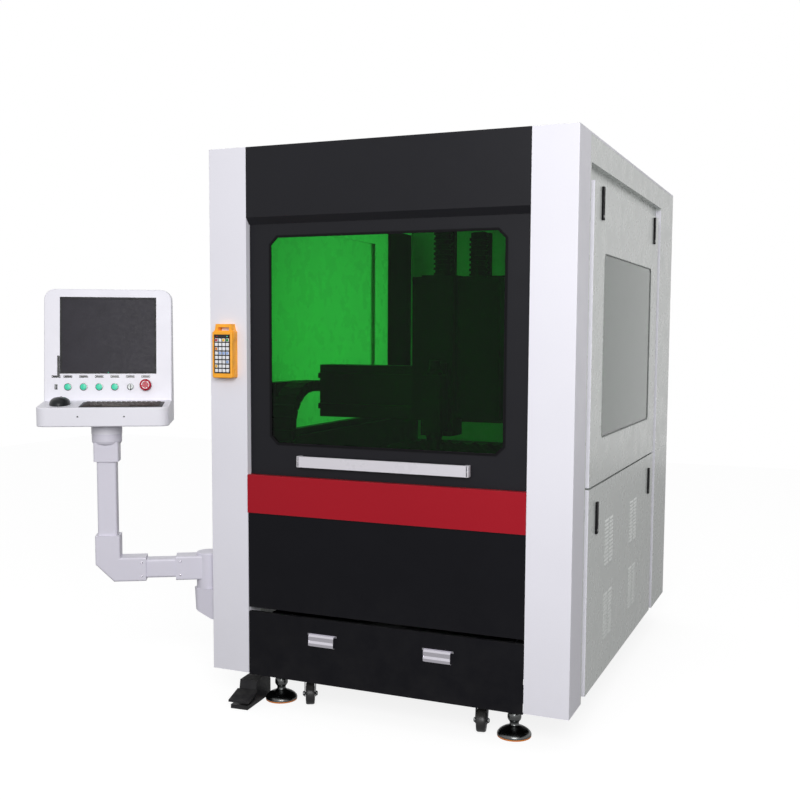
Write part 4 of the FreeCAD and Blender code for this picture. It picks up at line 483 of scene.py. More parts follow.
def finishPiece(name, shape, place, body, looks, sharp=0.6):
    shape.transform(place)
    bmesh.ops.recalc_face_normals(shape, faces=shape.faces)
    for face in shape.faces:
        face.smooth = True
    for edge in shape.edges:
        edge.smooth = edge.is_manifold and edge.calc_face_angle(0.0) < sharp
    mesh = bpy.data.meshes.new(name)
    shape.to_mesh(mesh)
    shape.free()
    for look in looks:
        mesh.materials.append(materials[look])
    piece = bpy.data.objects.new(name, mesh)
    bpy.context.scene.collection.objects.link(piece)
    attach(piece, body)
    return piece


cabinet = {"middleX": 308.71, "frontY": -752.84, "halfWide": 633.0, "deep": 1752.0}
frontFace = faceFrame((cabinet["middleX"], cabinet["frontY"], 0), (1, 0, 0), (0, 0, 1), (0, -1, 0))
rightFace = faceFrame((cabinet["middleX"] + cabinet["halfWide"], cabinet["frontY"], 0),
                      (0, 1, 0), (0, 0, 1), (1, 0, 0))
rearFace = faceFrame((cabinet["middleX"], cabinet["frontY"] + cabinet["deep"], 0),
                     (-1, 0, 0), (0, 0, 1), (0, 1, 0))
# on the left side the depth runs the other way across the face
leftFace = faceFrame((cabinet["middleX"] - cabinet["halfWide"], cabinet["frontY"], 0),
                     (0, -1, 0), (0, 0, 1), (-1, 0, 0))

arm = {"axis": (-384.29, -680.34, 0), "turn": 31.0, "consoleX": -347.0, "panelTilt": 7.0,
       "traySlope": 4.7, "panelFoot": (55.0, 1047.98), "trayFront": (-115.0, 1034.0)}


def armFrame(x, y, z, up, out, across=(1, 0, 0)):
    # a face of the arm or the console, which are turned together about the swivel
    turn = Matrix.Rotation(math.radians(arm["turn"]), 4, "Z")
    swivel = Matrix.Translation(Vector(arm["axis"]) / 1000) @ turn
    return swivel @ faceFrame((x, y, z), across, up, out)


def sloped(angle):
    return math.sin(math.radians(angle)), math.cos(math.radians(angle))


lean, stand = sloped(arm["panelTilt"])
panelFrame = armFrame(arm["consoleX"], *arm["panelFoot"], (0, lean, stand), (0, -stand, lean))
rise, run = sloped(arm["traySlope"])
trayFrame = armFrame(arm["consoleX"], *arm["trayFront"], (0, run, rise), (0, -rise, run))
armFront = armFrame(0, 0, 0, (0, 0, 1), (0, -1, 0))
armBack = armFront @ Matrix.Rotation(math.pi, 4, "Y")


# console: display, controls, keyboard and mouse

# outlines are left, low, right, high and corner radius
display = {"outline": (-158.0, 102.0, 158.0, 358.0, 1.0), "hiddenDeep": 2.0, "lampY": 98.5,
           "lamp": [(1.6, 0.2), (1.6, 1.7), (1.0, 1.9), (0.3, 1.9)],
           "strip": (-174.0, 84.0, -165.5, 158.0, 1.5), "stripDomes": 7, "stripDomeX": -170.0,
           "stripFirst": 92.0, "stripPitch": 9.5, "stripDome": [(1.3, 1.0), (1.3, 1.5), (0.4, 1.7)]}


def buildDisplay():
    shape = bmesh.new()
    addPrism(shape, roundedOutline(*display["outline"]), -display["hiddenDeep"], 0.0)
    addLathe(shape, display["lamp"], (0, display["lampY"], 0), steps=16, finish=1)
    finishPiece("displayFace", shape, panelFrame, "console", ["screenGlass", "greenKey"])
    shape = bmesh.new()                             # narrow dark strip beside the display's lower corner, with seven small domes along it
    addPrism(shape, roundedOutline(*display["strip"]), -0.4, 1.2)
    for number in range(display["stripDomes"]):
        y = display["stripFirst"] + display["stripPitch"] * number
        addLathe(shape, display["stripDome"], (display["stripDomeX"], y, 0), steps=12, finish=1)
    finishPiece("displayStrip", shape, panelFrame, "console",
                ["glossBlack", "greyPlastic"])


controls = {"first": -138.0, "pitch": 53.3, "row": 48.0, "stopRise": 6.0, "pushButtons": 4,
            "ring": [(10.6, 0.2), (13.2, 0.0), (13.2, 1.4), (12.4, 2.4), (10.9, 2.6), (10.6, 1.2)],
            "keyRing": [(8.2, 0.2), (11.5, 0.0), (11.5, 1.6), (10.6, 2.6), (8.6, 2.8), (8.2, 1.0)],
            "dome": [(10.55, 1.0), (10.6, 5.2), (10.0, 6.2), (7.4, 6.75), (3.5, 7.05), (0.4, 7.1)],
            "labelHalf": 15.0, "labelLow": 80.5, "labelHigh": 88.5, "labelCorner": 1.2,
            "rivetX": 12.8, "rivetY": 84.5, "rivet": [(0.9, 0.3), (0.9, 0.75), (0.3, 0.9)],
            "socketX": -178.0, "socketY": 48.0, "socketHalf": (5.2, 9.5), "socketHole": (3.9, 8.2)}


def controlX(number):
    return controls["first"] + number * controls["pitch"]


def buildControls():
    shape = bmesh.new()                             # rings round the push buttons and the key
    for number in range(controls["pushButtons"] + 1):
        profile = controls["ring"] if number < controls["pushButtons"] else controls["keyRing"]
        addLathe(shape, profile, (controlX(number), controls["row"], 0), steps=32, ring=True)
    finishPiece("controlRings", shape, panelFrame, "console", ["darkChrome"])

    shape = bmesh.new()                             # bare label plates over the controls
    half = controls["labelHalf"]
    for x in [controls["socketX"]] + [controlX(number) for number in range(6)]:
        addPrism(shape, roundedOutline(x - half, controls["labelLow"], x + half, controls["labelHigh"],
                                       controls["labelCorner"]), -0.3, 0.5)
        for side in (-1, 1):
            addLathe(shape, controls["rivet"], (x + side * controls["rivetX"], controls["rivetY"], 0),
                     steps=12, finish=1)
    finishPiece("controlLabels", shape, panelFrame, "console",
                ["glossBlack", "zincPlate"])

    shape = bmesh.new()                             # socket for a memory stick, with its tongue
    x, y = controls["socketX"], controls["socketY"]
    wide, high = controls["socketHalf"]
    addStrip(shape, roundedOutline(x - wide, y - high, x + wide, y + high, 1.2), 1.5, -0.2, 1.2)
    wide, high = controls["socketHole"]
    # painted shade: the socket's opening is a dark floor round its tongue
    addPrism(shape, roundedOutline(x - wide, y - high, x + wide, y + high, 0.6), -0.5, 0.4, 1)
    addBlock(shape, (x - 1.6, y - 6.4, 0.2), (x + 0.4, y + 6.4, 1.0), 0.2, 1, 2)
    finishPiece("memorySocket", shape, panelFrame, "console",
                ["darkChrome", "blackRubber", "whiteKey"])

    for number in range(controls["pushButtons"]):   # domes of the push buttons
        shape = bmesh.new()
        addLathe(shape, controls["dome"], (controlX(number), controls["row"], 0), steps=32)
        finishPiece(f"buttonDome_{number + 1}", shape, panelFrame, f"button_{number + 1}",
                    ["greenKey"])


stopButton = {"collar": [(11.5, 0.2), (20.0, 0.0), (20.0, 1.6), (18.6, 2.8), (13.5, 3.4), (11.5, 2.0)],
              "head": [(17.3, 8.0), (20.3, 8.8), (20.4, 14.0), (18.6, 18.2), (16.2, 20.1),
                       (12.0, 20.5), (8.0, 19.9), (0.5, 20.2)],
              "arrows": 3, "arrowOut": 13.4, "arrowIn": 11.6, "arrowTurn": 78.0, "arrowSteps": 8,
              "tipTurn": 22.0, "barb": 2.4}


def buildStopButton():
    x, row = controlX(5), controls["row"] + controls["stopRise"]
    shape = bmesh.new()
    addLathe(shape, stopButton["collar"], (x, row, 0), steps=40, ring=True)
    finishPiece("stopCollar", shape, panelFrame, "console", ["blackPlastic"])

    shape = bmesh.new()                             # mushroom with a dished face and turning arrows
    addLathe(shape, stopButton["head"], (x, row, 0), steps=48)

    def faceAt(reach, angle):
        return x + reach * math.cos(math.radians(angle)), row + reach * math.sin(math.radians(angle))

    steps = stopButton["arrowSteps"]
    middle = (stopButton["arrowIn"] + stopButton["arrowOut"]) / 2
    for number in range(stopButton["arrows"]):
        start = 90 + 120 * number
        end = start + stopButton["arrowTurn"]
        angles = [start + stopButton["arrowTurn"] * step / steps for step in range(steps + 1)]
        shaft = [faceAt(stopButton["arrowIn"], angle) for angle in angles]
        shaft += [faceAt(stopButton["arrowOut"], angle) for angle in reversed(angles)]
        tip = [faceAt(middle + stopButton["barb"], end), faceAt(middle, end + stopButton["tipTurn"]),
               faceAt(middle - stopButton["barb"], end)]
        addPrism(shape, shaft, 19.2, 20.75, 1)
        addPrism(shape, tip, 19.0, 20.72, 1)
    finishPiece("stopHead", shape, panelFrame, "stop_button", ["redKey", "whiteKey"])


# key widths are in keys, row by row from the back
keyboardUnit = {"left": -78.0, "right": 197.0, "front": 14.0, "back": 126.0, "deep": 6.0, "plate": 2.0,
                "firstRow": 9.0, "rowPitch": 19.5, "keyDeep": 17.0, "keyFoot": 1.5, "margin": 10.0,
                "gap": 2.0, "top": 5.0, "slant": 1.6, "spaceBar": 3,
                "keyWidths": [[1] * 15, [1.5] + [1] * 12 + [1.5], [1.75] + [1] * 11 + [2.25],
                              [2.25] + [1] * 10 + [2.75],
                              [1.25, 1.25, 1.25, 5.5, 1.25, 1.25, 1.25, 1, 1]]}


def addKeyCap(shape, left, front, right, back, low, high, slant, finish=0):
    base = [(left, front), (right, front), (right, back), (left, back)]
    top = [(left + slant, front + slant), (right - slant, front + slant),
           (right - slant, back - slant * 0.6), (left + slant, back - slant * 0.6)]
    rows = [[shape.verts.new((x, y, z)) for x, y in line] for line, z in ((base, low), (top, high))]
    addShell(shape, rows, finish)
    edges = {edge for corner in rows[1] for edge in corner.link_edges}
    bmesh.ops.bevel(shape, geom=list(edges), offset=0.6, segments=2, profile=0.6, affect="EDGES")


def buildKeyboard():
    board = keyboardUnit
    shape = bmesh.new()
    addBlock(shape, (board["left"], board["front"], -board["deep"]),
             (board["right"], board["back"], board["plate"]), 1.5)
    whole = board["right"] - board["left"] - 2 * board["margin"]
    for row, keys in enumerate(reversed(board["keyWidths"])):
        start = board["left"] + board["margin"]
        front = board["front"] + board["firstRow"] + row * board["rowPitch"]
        for number, wide in enumerate(keys):
            size = wide * whole / sum(keys)
            brown = number in (0, len(keys) - 1) or (row == 0 and number != board["spaceBar"])
            addKeyCap(shape, start + board["gap"] / 2, front, start + size - board["gap"] / 2,
                      front + board["keyDeep"], board["keyFoot"], board["top"], board["slant"],
                      2 if brown else 1)
            start += size
    piece = finishPiece("keyboardUnit", shape, trayFrame, "console",
                        ["blackPlastic", "greyKey", "brownKey"], 0.9)
    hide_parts("keyboard")


# the curve powers are under 1, which makes the outline and the back fuller than an ellipse
mouseUnit = {"x": -150.0, "y": 82.0, "halfWide": 34.0, "halfLong": 52.0, "tall": 25.0, "rest": 0.3,
             "rings": 12, "steps": 40, "sideCurve": 0.85, "endCurve": 0.9, "swellCurve": 0.75,
             "backCurve": 0.9, "waist": 0.1, "slope": 0.12, "wheelAhead": 30.0, "wheelRise": 17.0}


def fuller(value, power):
    return math.copysign(abs(value) ** power, value)


def buildMouse():
    mouse = mouseUnit
    x, y, steps = mouse["x"], mouse["y"], mouse["steps"]
    shape = bmesh.new()
    rows = []
    for ring in range(mouse["rings"]):
        lift = math.radians(90 * ring / mouse["rings"])
        swell = math.cos(lift) ** mouse["swellCurve"]
        row = []
        for step in range(steps):
            angle = 2 * math.pi * step / steps
            waist = 1.0 - mouse["waist"] * math.sin(angle) ** 2
            wide = mouse["halfWide"] * fuller(math.cos(angle), mouse["sideCurve"]) * waist * swell
            ahead = fuller(math.sin(angle), mouse["endCurve"]) * swell
            tall = mouse["tall"] * math.sin(lift) ** mouse["backCurve"] * (1 - mouse["slope"] * ahead)
            row.append(shape.verts.new((x + wide, y + mouse["halfLong"] * ahead, mouse["rest"] + tall)))
        rows.append(row)
    top = shape.verts.new((x, y, mouse["rest"] + mouse["tall"]))
    joinRows(shape, rows)
    for step in range(steps):
        shape.faces.new((rows[-1][step], rows[-1][(step + 1) % steps], top))
    shape.faces.new(rows[0])
    addLathe(shape, [(2.0, -3), (6.0, -3), (6.6, -1.5), (6.6, 1.5), (6.0, 3), (2.0, 3)],
             (x, y + mouse["wheelAhead"], mouse["wheelRise"]), "x", 24, 1)
    addBlock(shape, (x - 0.5, y + 12, 19.0), (x + 0.5, y + 24, 24.0), 0.2, 1, 1)
    piece = finishPiece("mouseShell", shape, trayFrame, "console",
                        ["mouseBlack", "blackRubber"], 0.9)
    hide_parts("mouse")


housing = {"front": -115.0, "back": 150.0, "trayScrews": ((-80.0, 1004.0), (72.0, 1004.0)),
           "cover": (-170.0, 1080.0, 170.0, 1380.0, 12.0),
           "coverScrews": [(x, y) for x in (-160.0, 160.0) for y in (1090.0, 1230.0, 1370.0)],
           "trayScrew": 3.0, "coverScrew": 3.2, "ventRows": 9,
           "ventLow": 1120.0, "ventPitch": 14.0, "ventHalf": 62.0, "ventHigh": 4.0, "ventX": 75.0}


def buildHousingDetails():
    consoleFront = armFrame(arm["consoleX"], housing["front"], 0, (0, 0, 1), (0, -1, 0))
    shape = bmesh.new()                             # screws on the tray's front lip
    addScrews(shape, housing["trayScrews"], -0.4, housing["trayScrew"])
    finishPiece("trayScrews", shape, consoleFront, "console", ["darkChrome"])

    consoleBack = armFrame(arm["consoleX"], housing["back"], 0, (0, 0, 1), (0, 1, 0), (-1, 0, 0))
    shape = bmesh.new()                             # screwed cover on the housing's back, with air slots drawn as dark patches: painted shade for the openings
    addPrism(shape, roundedOutline(*housing["cover"]), -1.0, -0.05)
    addScrews(shape, housing["coverScrews"], -0.2, housing["coverScrew"], 1)
    for row in range(housing["ventRows"]):
        foot = housing["ventLow"] + row * housing["ventPitch"]
        for x in (-housing["ventX"], housing["ventX"]):
            outline = roundedOutline(x - housing["ventHalf"], foot, x + housing["ventHalf"],
                                     foot + housing["ventHigh"], housing["ventHigh"] / 2)
            addPrism(shape, outline, -0.5, 0.0, 2)
    finishPiece("housingCover", shape, consoleBack, "console",
                ["consolePaint", "zincPlate", "blackRubber"])


buildDisplay()
buildControls()
buildStopButton()
buildKeyboard()
buildMouse()
buildHousingDetails()
print("laser cutter: console details built")


# hand-held remote

remote = {"x": -565.5, "firstX": -21.6, "firstZ": 1160.75, "pitchX": 14.4, "pitchZ": 14.6,
          "size": 11.0, "padOut": 33.0, "keyTop": 35.7, "columns": 4, "rows": 8,
          "window": (-592.5, 1270.5, -538.5, 1280.0, 2.0), "windowOut": 33.9,
          "lampX": 20.0, "lampZ": 1275.2, "lamp": [(2.0, 33.5), (1.9, 34.3), (1.0, 34.8), (0.3, 34.9)],
          "guardX": 39.9, "guardHalf": 1.2,
          "guardLows": (1139.0, 1262.0), "guardTall": 26.0, "guardIn": 6.0, "guardOut": 28.0}
# finish of each coloured key, by column and row from the lower left
remoteKeys = {(0, 7): 1, (2, 7): 2, (3, 7): 3, (0, 5): 4, (1, 4): 5, (2, 4): 5, (3, 4): 5,
              (0, 1): 2, (3, 2): 5}


def buildRemote():
    middle, half = remote["x"], remote["size"] / 2
    shape = bmesh.new()
    for column in range(remote["columns"]):
        for row in range(remote["rows"]):
            x = middle + remote["firstX"] + column * remote["pitchX"]
            z = remote["firstZ"] + row * remote["pitchZ"]
            addBlock(shape, (x - half, z - half, remote["padOut"] - 0.3),
                     (x + half, z + half, remote["keyTop"]), 1.3, 3, remoteKeys.get((column, row), 0))
    finishPiece("remoteKeys", shape, frontFace, "machine",
                ["whiteKey", "redKey", "yellowKey", "leafKey", "orangePlate", "blueKey"], 0.9)
    shape = bmesh.new()                             # window over the keys, with its two lamps
    addPrism(shape, roundedOutline(*remote["window"]), remote["padOut"] - 0.2, remote["windowOut"])
    for side, finish in ((-1, 1), (1, 2)):
        addLathe(shape, remote["lamp"], (middle + side * remote["lampX"], remote["lampZ"], 0),
                 steps=16, finish=finish)
    finishPiece("remoteWindow", shape, frontFace, "machine",
                ["glossBlack", "redKey", "greenKey"])
    shape = bmesh.new()                             # raised guards at the four corners of the case
    for side in (-1, 1):
        x = middle + side * remote["guardX"]
        for low in remote["guardLows"]:
            addBlock(shape, (x - remote["guardHalf"], low, remote["guardIn"]),
                     (x + remote["guardHalf"], low + remote["guardTall"], remote["guardOut"]), 1.0, 2)
    finishPiece("remoteGrips", shape, frontFace, "machine", ["orangeCase"])


buildRemote()
print("laser cutter: remote keys built")


# front: window seal, drawer pull screws, caps of the pull bar

doorSeal = {"outline": (-413.8, 912.0, 413.8, 1610.0), "chamfer": 29.0, "wide": 8.0, "inner": -23.2,
            "outer": -19.4}


def buildSeal(name, seal, place, body, look):
    # a rubber band round a window, from its inner to its outer height over the face
    shape = bmesh.new()
    addStrip(shape, cutCorners(*seal["outline"], seal["chamfer"]), seal["wide"], seal["inner"],
             seal["outer"])
    finishPiece(name, shape, place, body, [look])


pulls = {"ears": [(side * 206.0 + ear * 49.5, 284.0) for side in (-1, 1) for ear in (-1, 1)],
         "earScrew": 2.3,
         "feet": [(side * 206.0 + ear * 34.0, 246.5) for side in (-1, 1) for ear in (-1, 1)],
         "footScrew": 2.07}


def buildPullScrews():
    shape = bmesh.new()
    addScrews(shape, pulls["ears"], 1.5, pulls["earScrew"])
    addScrews(shape, pulls["feet"], 3.0, pulls["footScrew"])
    finishPiece("pullScrews", shape, frontFace, "drawer", ["darkChrome"])


barFit = {"half": 301.5, "low": 844.0, "high": 880.0, "capOver": 0.4, "capWide": 9.0, "capLap": 0.5,
          "capIn": -20.6, "screws": ((-297.0, 862.0), (297.0, 862.0)), "screw": 2.4}


def buildBarFittings():
    # moulded caps on the ends of the pull bar, each with its screw
    low, high, lap = barFit["low"], barFit["high"], barFit["capLap"]
    shape = bmesh.new()
    for side in (-1, 1):
        left, right = sorted((side * (barFit["half"] + barFit["capOver"]),
                              side * (barFit["half"] - barFit["capWide"])))
        addBlock(shape, (left, low - lap, barFit["capIn"]), (right, high + lap, 0.0), 1.6, 3)
    addScrews(shape, barFit["screws"], -1.0, barFit["screw"], 1)
    finishPiece("barCaps", shape, frontFace, "front_door", ["barPaint", "zincPlate"])


buildSeal("windowSeal", doorSeal, frontFace, "front_door", "blackRubber")
buildPullScrews()
buildBarFittings()
print("laser cutter: front details built")


# sides and rear: paddle locks, louvred panels, window seal, rear screws and duct spigot

locks = {"front": 320.0, "back": 1283.0, "wide": 24.0, "long": 105.0, "upperLow": 1652.0,
         "lowerLow": 639.0, "corner": 3.5, "proud": 6.02, "hidden": 0.2,
         "rim": {"half": 8.2, "foot": 22.0, "head": 6.0, "corner": 7.5, "wide": 1.0, "rise": 0.03},
         "pad": {"half": 6.6, "foot": 24.0, "head": 8.0, "corner": 6.0, "rise": 0.05},
         "cylinder": 5.4, "cylinderUp": 12.0}


def paddleOutline(middle, low, part):
    return roundedOutline(middle - part["half"], low + part["foot"], middle + part["half"],
                          low + locks["long"] - part["head"], part["corner"], 6)


def addPaddleLock(shape, middle, low):
    half, top, rim, pad = locks["wide"] / 2, locks["proud"], locks["rim"], locks["pad"]
    addPrism(shape, roundedOutline(middle - half, low, middle + half, low + locks["long"],
                                   locks["corner"]), -1.0, top)
    addStrip(shape, paddleOutline(middle, low, rim), rim["wide"], top - locks["hidden"],
             top + rim["rise"], 1)
    addPrism(shape, paddleOutline(middle, low, pad), top - locks["hidden"], top + pad["rise"], 2)
    radius, up = locks["cylinder"], low + locks["cylinderUp"]
    addLathe(shape, [(radius, top - locks["hidden"]), (radius, top + 0.04), (radius - 0.8, top + 0.07),
                     (1.0, top + 0.07)], (middle, up, 0), steps=24, finish=3)
    # painted shade: the keyway is a thin dark sliver on the cylinder's face, standing in for the shaded
    # slot
    addBlock(shape, (middle - 0.6, up - 3, top), (middle + 0.6, up + 3, top + 0.08), 0.0, 1, 1)


hoods = {"proud": 2.6, "over": 4.5, "lap": 2.0, "taper": 7.0, "foot": 0.3, "hidden": -0.6,
         "skin": 0.05, "curve": 0.8, "stations": 11, "bands": 5}
sideHoods = {"starts": (463.0, 537.0, 903.0, 977.0), "lows": (244.5, 500.5), "rows": 12,
             "pitch": 13.5, "long": 62.0, "slit": 5.0}
rearHoods = {"starts": (-442.3, 274.3), "lows": (214.0,), "rows": 10, "pitch": 19.0, "long": 168.0,
             "slit": 6.0}
lowerPanel = {"front": 208.0, "back": 1385.0, "low": 127.0, "high": 797.0, "deep": 21.7,
              "sheet": 2.0, "round": 1.5}
# front edges of the panels and of the rear stile in the white paint, without the painted shade of the
# side paint: body, depth, low, high, inner and outer
foldedEdges = {"upperEdge": ("upper_panel_{}", 208.0, 803.0, 1764.0, -21.7, 0.0),
               "lowerEdge": ("lower_panel_{}", 208.0, 127.0, 797.0, -21.7, 0.0),
               "stileEdge": ("machine", 1445.0, 121.0, 1803.0, -21.9, -0.1)}


def addHood(shape, start, low, long, slit):
    # a pressed louvre: its lip stands out over the slit and fades into the sheet above and at its ends
    stations, bands, lap = hoods["stations"], hoods["bands"], hoods["lap"]
    foot, head = low + hoods["foot"], low + slit + hoods["over"]
    loops = []
    for station in range(stations):
        along = station / (stations - 1)
        x = start - lap + (long + 2 * lap) * along
        ends = min(1.0, min(along, 1 - along) * long / hoods["taper"])
        swell = hoods["proud"] * math.sin(math.pi / 2 * ends)
        points = [(x, foot, hoods["hidden"])]
        for share in [band / bands for band in range(bands + 1)]:
            out = hoods["skin"] + swell * math.cos(math.pi / 2 * share) ** hoods["curve"]
            points.append((x, foot + (head - foot) * share, out))
        points.append((x, head, hoods["hidden"]))
        loops.append([shape.verts.new(point) for point in points])
    addShell(shape, loops)
    for first, second in zip(loops, loops[1:]):     # painted shade: the face under the lip takes the second, dark finish, standing in for the shaded slit behind it
        shape.faces.get((first[0], first[1], second[1], second[0])).material_index = 1


def addHoods(shape, field, toward):
    for start in field["starts"]:
        first = start if toward > 0 else -start - field["long"]
        for low in field["lows"]:
            for row in range(field["rows"]):
                addHood(shape, first, low + row * field["pitch"], field["long"], field["slit"])


def buildSide(side, place, toward):
    # toward is 1 on the right, where depth runs along the face, and -1 on the left
    name = "Right" if side == "r" else "Left"
    for level, low in (("upper", locks["upperLow"]), ("lower", locks["lowerLow"])):
        shape = bmesh.new()
        for middle in (locks["front"], locks["back"]):
            addPaddleLock(shape, toward * middle, low)
        finishPiece(f"{level}Locks{name}", shape, place, f"{level}_panel_{side}",
                    ["blackRubber", "glossBlack", "blackRubber", "darkChrome"])
    shape = bmesh.new()                             # folded pan of the lower panel, with its louvres
    left, right = sorted((toward * lowerPanel["front"], toward * lowerPanel["back"]))
    outline = roundedOutline(left, lowerPanel["low"], right, lowerPanel["high"], lowerPanel["round"], 3)
    addPrism(shape, outline, -lowerPanel["sheet"], 0.0)
    addStrip(shape, outline, lowerPanel["sheet"], -lowerPanel["deep"], -0.02)
    addHoods(shape, sideHoods, toward)
    piece = finishPiece(f"louvrePanel{name}", shape, place, f"lower_panel_{side}",
                        ["shadedSidePaint", "greyRubber"], 0.5)
    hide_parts(f"lower_panel_{name.lower()}")
    for label, (body, depth, low, high, inner, outer) in foldedEdges.items():
        shape = bmesh.new()
        addBlock(shape, (toward * depth - 0.5, low, inner), (toward * depth + 0.5, high, outer), 0.3, 1)
        finishPiece(f"{label}{name}", shape, place, body.format(side), ["whitePaint"])


# a dark sheet inside the cabin's left wall near the back: painted shade
shadeSheet = {"x": -300.3, "low": (700.0, 803.0, 0.0), "high": (980.0, 1764.0, 1.0)}


def buildShadeSheet():
    place = faceFrame((shadeSheet["x"], 0, 0), (0, 1, 0), (0, 0, 1), (1, 0, 0))
    shape = bmesh.new()                             # painted shade: a dark sheet on the cabin's left rear stile, darkening the corner by the back wall
    addBlock(shape, shadeSheet["low"], shadeSheet["high"], 0.3, 1)
    finishPiece("stileShadeSheet", shape, place, "machine", ["housingPaint"])


sideSeal = {"outline": (369.0, 948.0, 1243.5, 1551.0), "chamfer": 14.0, "wide": 3.0, "inner": -2.2,
            "outer": 0.5}

rearFit = {"screws": [(side * 596.0, z) for z in (160, 420, 690, 850, 1120, 1400, 1680, 1860)
                      for side in (-1, 1)]
           + [(x, z) for x in (-400, -200, 0, 200, 400) for z in (140, 1860)],
           "screw": 4.0, "spigotZ": 540.0, "spigotBore": 72.0,
           "bead": [(74.6, 8), (77.0, 9), (78.0, 11), (77.0, 13), (74.6, 14)],
           "wires": 5, "wirePitch": 12.0, "wire": 1.2, "wireOut": 30.0}


def buildRear():
    # drawn on the cabinet's rear plane
    shape = bmesh.new()
    addScrews(shape, rearFit["screws"], -0.2, rearFit["screw"])
    finishPiece("rearScrews", shape, rearFace, "machine", ["zincPlate"])
    shape = bmesh.new()
    addHoods(shape, rearHoods, 1)
    finishPiece("rearHoods", shape, rearFace, "machine", ["shadedSidePaint", "blackRubber"])
    shape = bmesh.new()                             # rolled bead and guard wires of the duct spigot
    addLathe(shape, rearFit["bead"], (0, rearFit["spigotZ"], 0), steps=64, ring=True)
    for number in range(-rearFit["wires"], rearFit["wires"] + 1):
        x = number * rearFit["wirePitch"]
        reach = math.sqrt(rearFit["spigotBore"] ** 2 - x ** 2)
        addLathe(shape, [(rearFit["wire"], -reach), (rearFit["wire"], reach)],
                 (x, rearFit["spigotZ"], rearFit["wireOut"]), "y", 10, 1)
    finishPiece("spigotBead", shape, rearFace, "machine", ["zincPlate", "brightSteel"])


buildSide("r", rightFace, 1)
buildSide("l", leftFace, -1)
buildShadeSheet()
buildSeal("sideWindowSeal", sideSeal, rightFace, "upper_panel_r", "greyRubber")
buildRear()
print("laser cutter: side and rear details built")


# castors and levelling feet

castorTurns = {"front_left": 28.0, "front_right": 12.0, "rear_left": -20.0, "rear_right": 16.0}
# half profiles, each mirrored to the other side of the wheel
castor = {"half": 15.15, "tyre": [(26.0, -15.15), (33.5, -15.15), (36.4, -12.95), (37.65, -9.15),
                                  (37.65, -1.6), (36.05, -0.6)],
          "disc": [(13.5, 0.0), (25.0, 0.0), (24.4, 0.7), (14.2, 0.7)],
          "nut": [(8.6, 20.0), (8.6, 20.9), (7.0, 20.95, "hex"), (7.0, 24.4, "hex"), (6.0, 25.4),
                  (5.2, 25.4)]}


def buildCastors():
    for name, turn in castorTurns.items():
        low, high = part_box(f"castor_wheel_{name}")
        place = Matrix.Translation((Vector(low) + Vector(high)) / 2)
        place = place @ Matrix.Rotation(math.radians(turn), 4, "Z") @ millimetres
        tyre, nuts = bmesh.new(), bmesh.new()
        mirrored = [(radius, -height) for radius, height in reversed(castor["tyre"])]
        addLathe(tyre, castor["tyre"] + mirrored, (0, 0, 0), "x", 64)
        for side in (-1, 1):
            disc = [(radius, side * (castor["half"] + out)) for radius, out in castor["disc"]]
            addLathe(tyre, disc, (0, 0, 0), "x", 48, 1, True)
            nut = [(radius, side * out, *kind) for radius, out, *kind in castor["nut"]]
            addLathe(nuts, nut, (0, 0, 0), "x", 24)
        finishPiece(f"castorTyre_{name}", tyre, place, f"wheel_{name}",
                    ["wheelBlack", "greyPlastic"], 0.5)
        finishPiece(f"castorNuts_{name}", nuts, place, f"fork_{name}", ["darkChrome"], 0.5)


# "bell" is the profile of the disc, its neck and its collar
feet = {"places": [(x, y) for y in (-636.84, 883.07) for x in (-118.59, 736.01)],
        "threadLow": 79.5, "threadHigh": 106.5, "pitch": 2.6, "core": 9.4, "crest": 10.3,
        "nut": [(15.8, 106.0), (16.0, 107.0, "hex"), (17.4, 108.0, "hex"), (17.4, 118.6, "hex"),
                (16.0, 119.8, "hex")],
        "bell": [(52.0, 4.4), (54.9, 4.6), (55.6, 6.0), (55.4, 9.0), (53.6, 13.0), (49.6, 17.6),
                 (43.6, 22.4), (36.4, 26.6), (28.4, 30.2), (21.6, 33.0), (17.0, 36.4), (15.0, 40.0),
                 (14.8, 45.0), (16.8, 49.5), (20.4, 54.0), (22.4, 59.0), (22.6, 66.0), (21.4, 73.5),
                 (18.6, 79.0), (9.4, 79.2)],
        "padRing": [(51.0, 0.1), (54.6, 0.2), (55.2, 1.6), (54.8, 2.6), (55.1, 3.4), (54.8, 4.5),
                    (51.0, 4.5)]}


def buildFeet():
    thread, height = [], feet["threadLow"]
    while height < feet["threadHigh"]:
        thread += [(feet["core"], height), (feet["crest"], height + feet["pitch"] / 2)]
        height += feet["pitch"]
    thread.append((feet["core"], height))
    shape = bmesh.new()
    for x, y in feet["places"]:
        addLathe(shape, feet["bell"], (x, y, 0), steps=64)
        addLathe(shape, thread, (x, y, 0), steps=24, finish=1)
        addLathe(shape, feet["nut"], (x, y, 0), steps=24, finish=1)
    piece = finishPiece("footBells", shape, millimetres, "machine",
                        ["darkChrome", "zincPlate"], 0.5)
    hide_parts("levelling_feet")
    shape = bmesh.new()                             # moulded rings on the foot pads
    for x, y in feet["places"]:
        addLathe(shape, feet["padRing"], (x, y, 0), steps=64, ring=True)
    finishPiece("padRings", shape, millimetres, "machine", ["orangePad"], 0.5)


buildCastors()
buildFeet()
print("laser cutter: castors and feet built")


# arm: clamp screws on both faces of its sleeves

armFit = {"screws": [(x, z) for x in (-100.0, -232.0) for z in (438.0, 486.0)], "sleeveOut": 37.8,
          "screw": 4.2}


def buildArmFittings():
    # on the back face the arm runs the other way across
    for name, place, toward in (("Front", armFront, 1), ("Back", armBack, -1)):
        shape = bmesh.new()
        addScrews(shape, [(toward * x, z) for x, z in armFit["screws"]], armFit["sleeveOut"],
                  armFit["screw"])
        finishPiece(f"armScrews{name}", shape, place, "arm", ["zincPlate"])


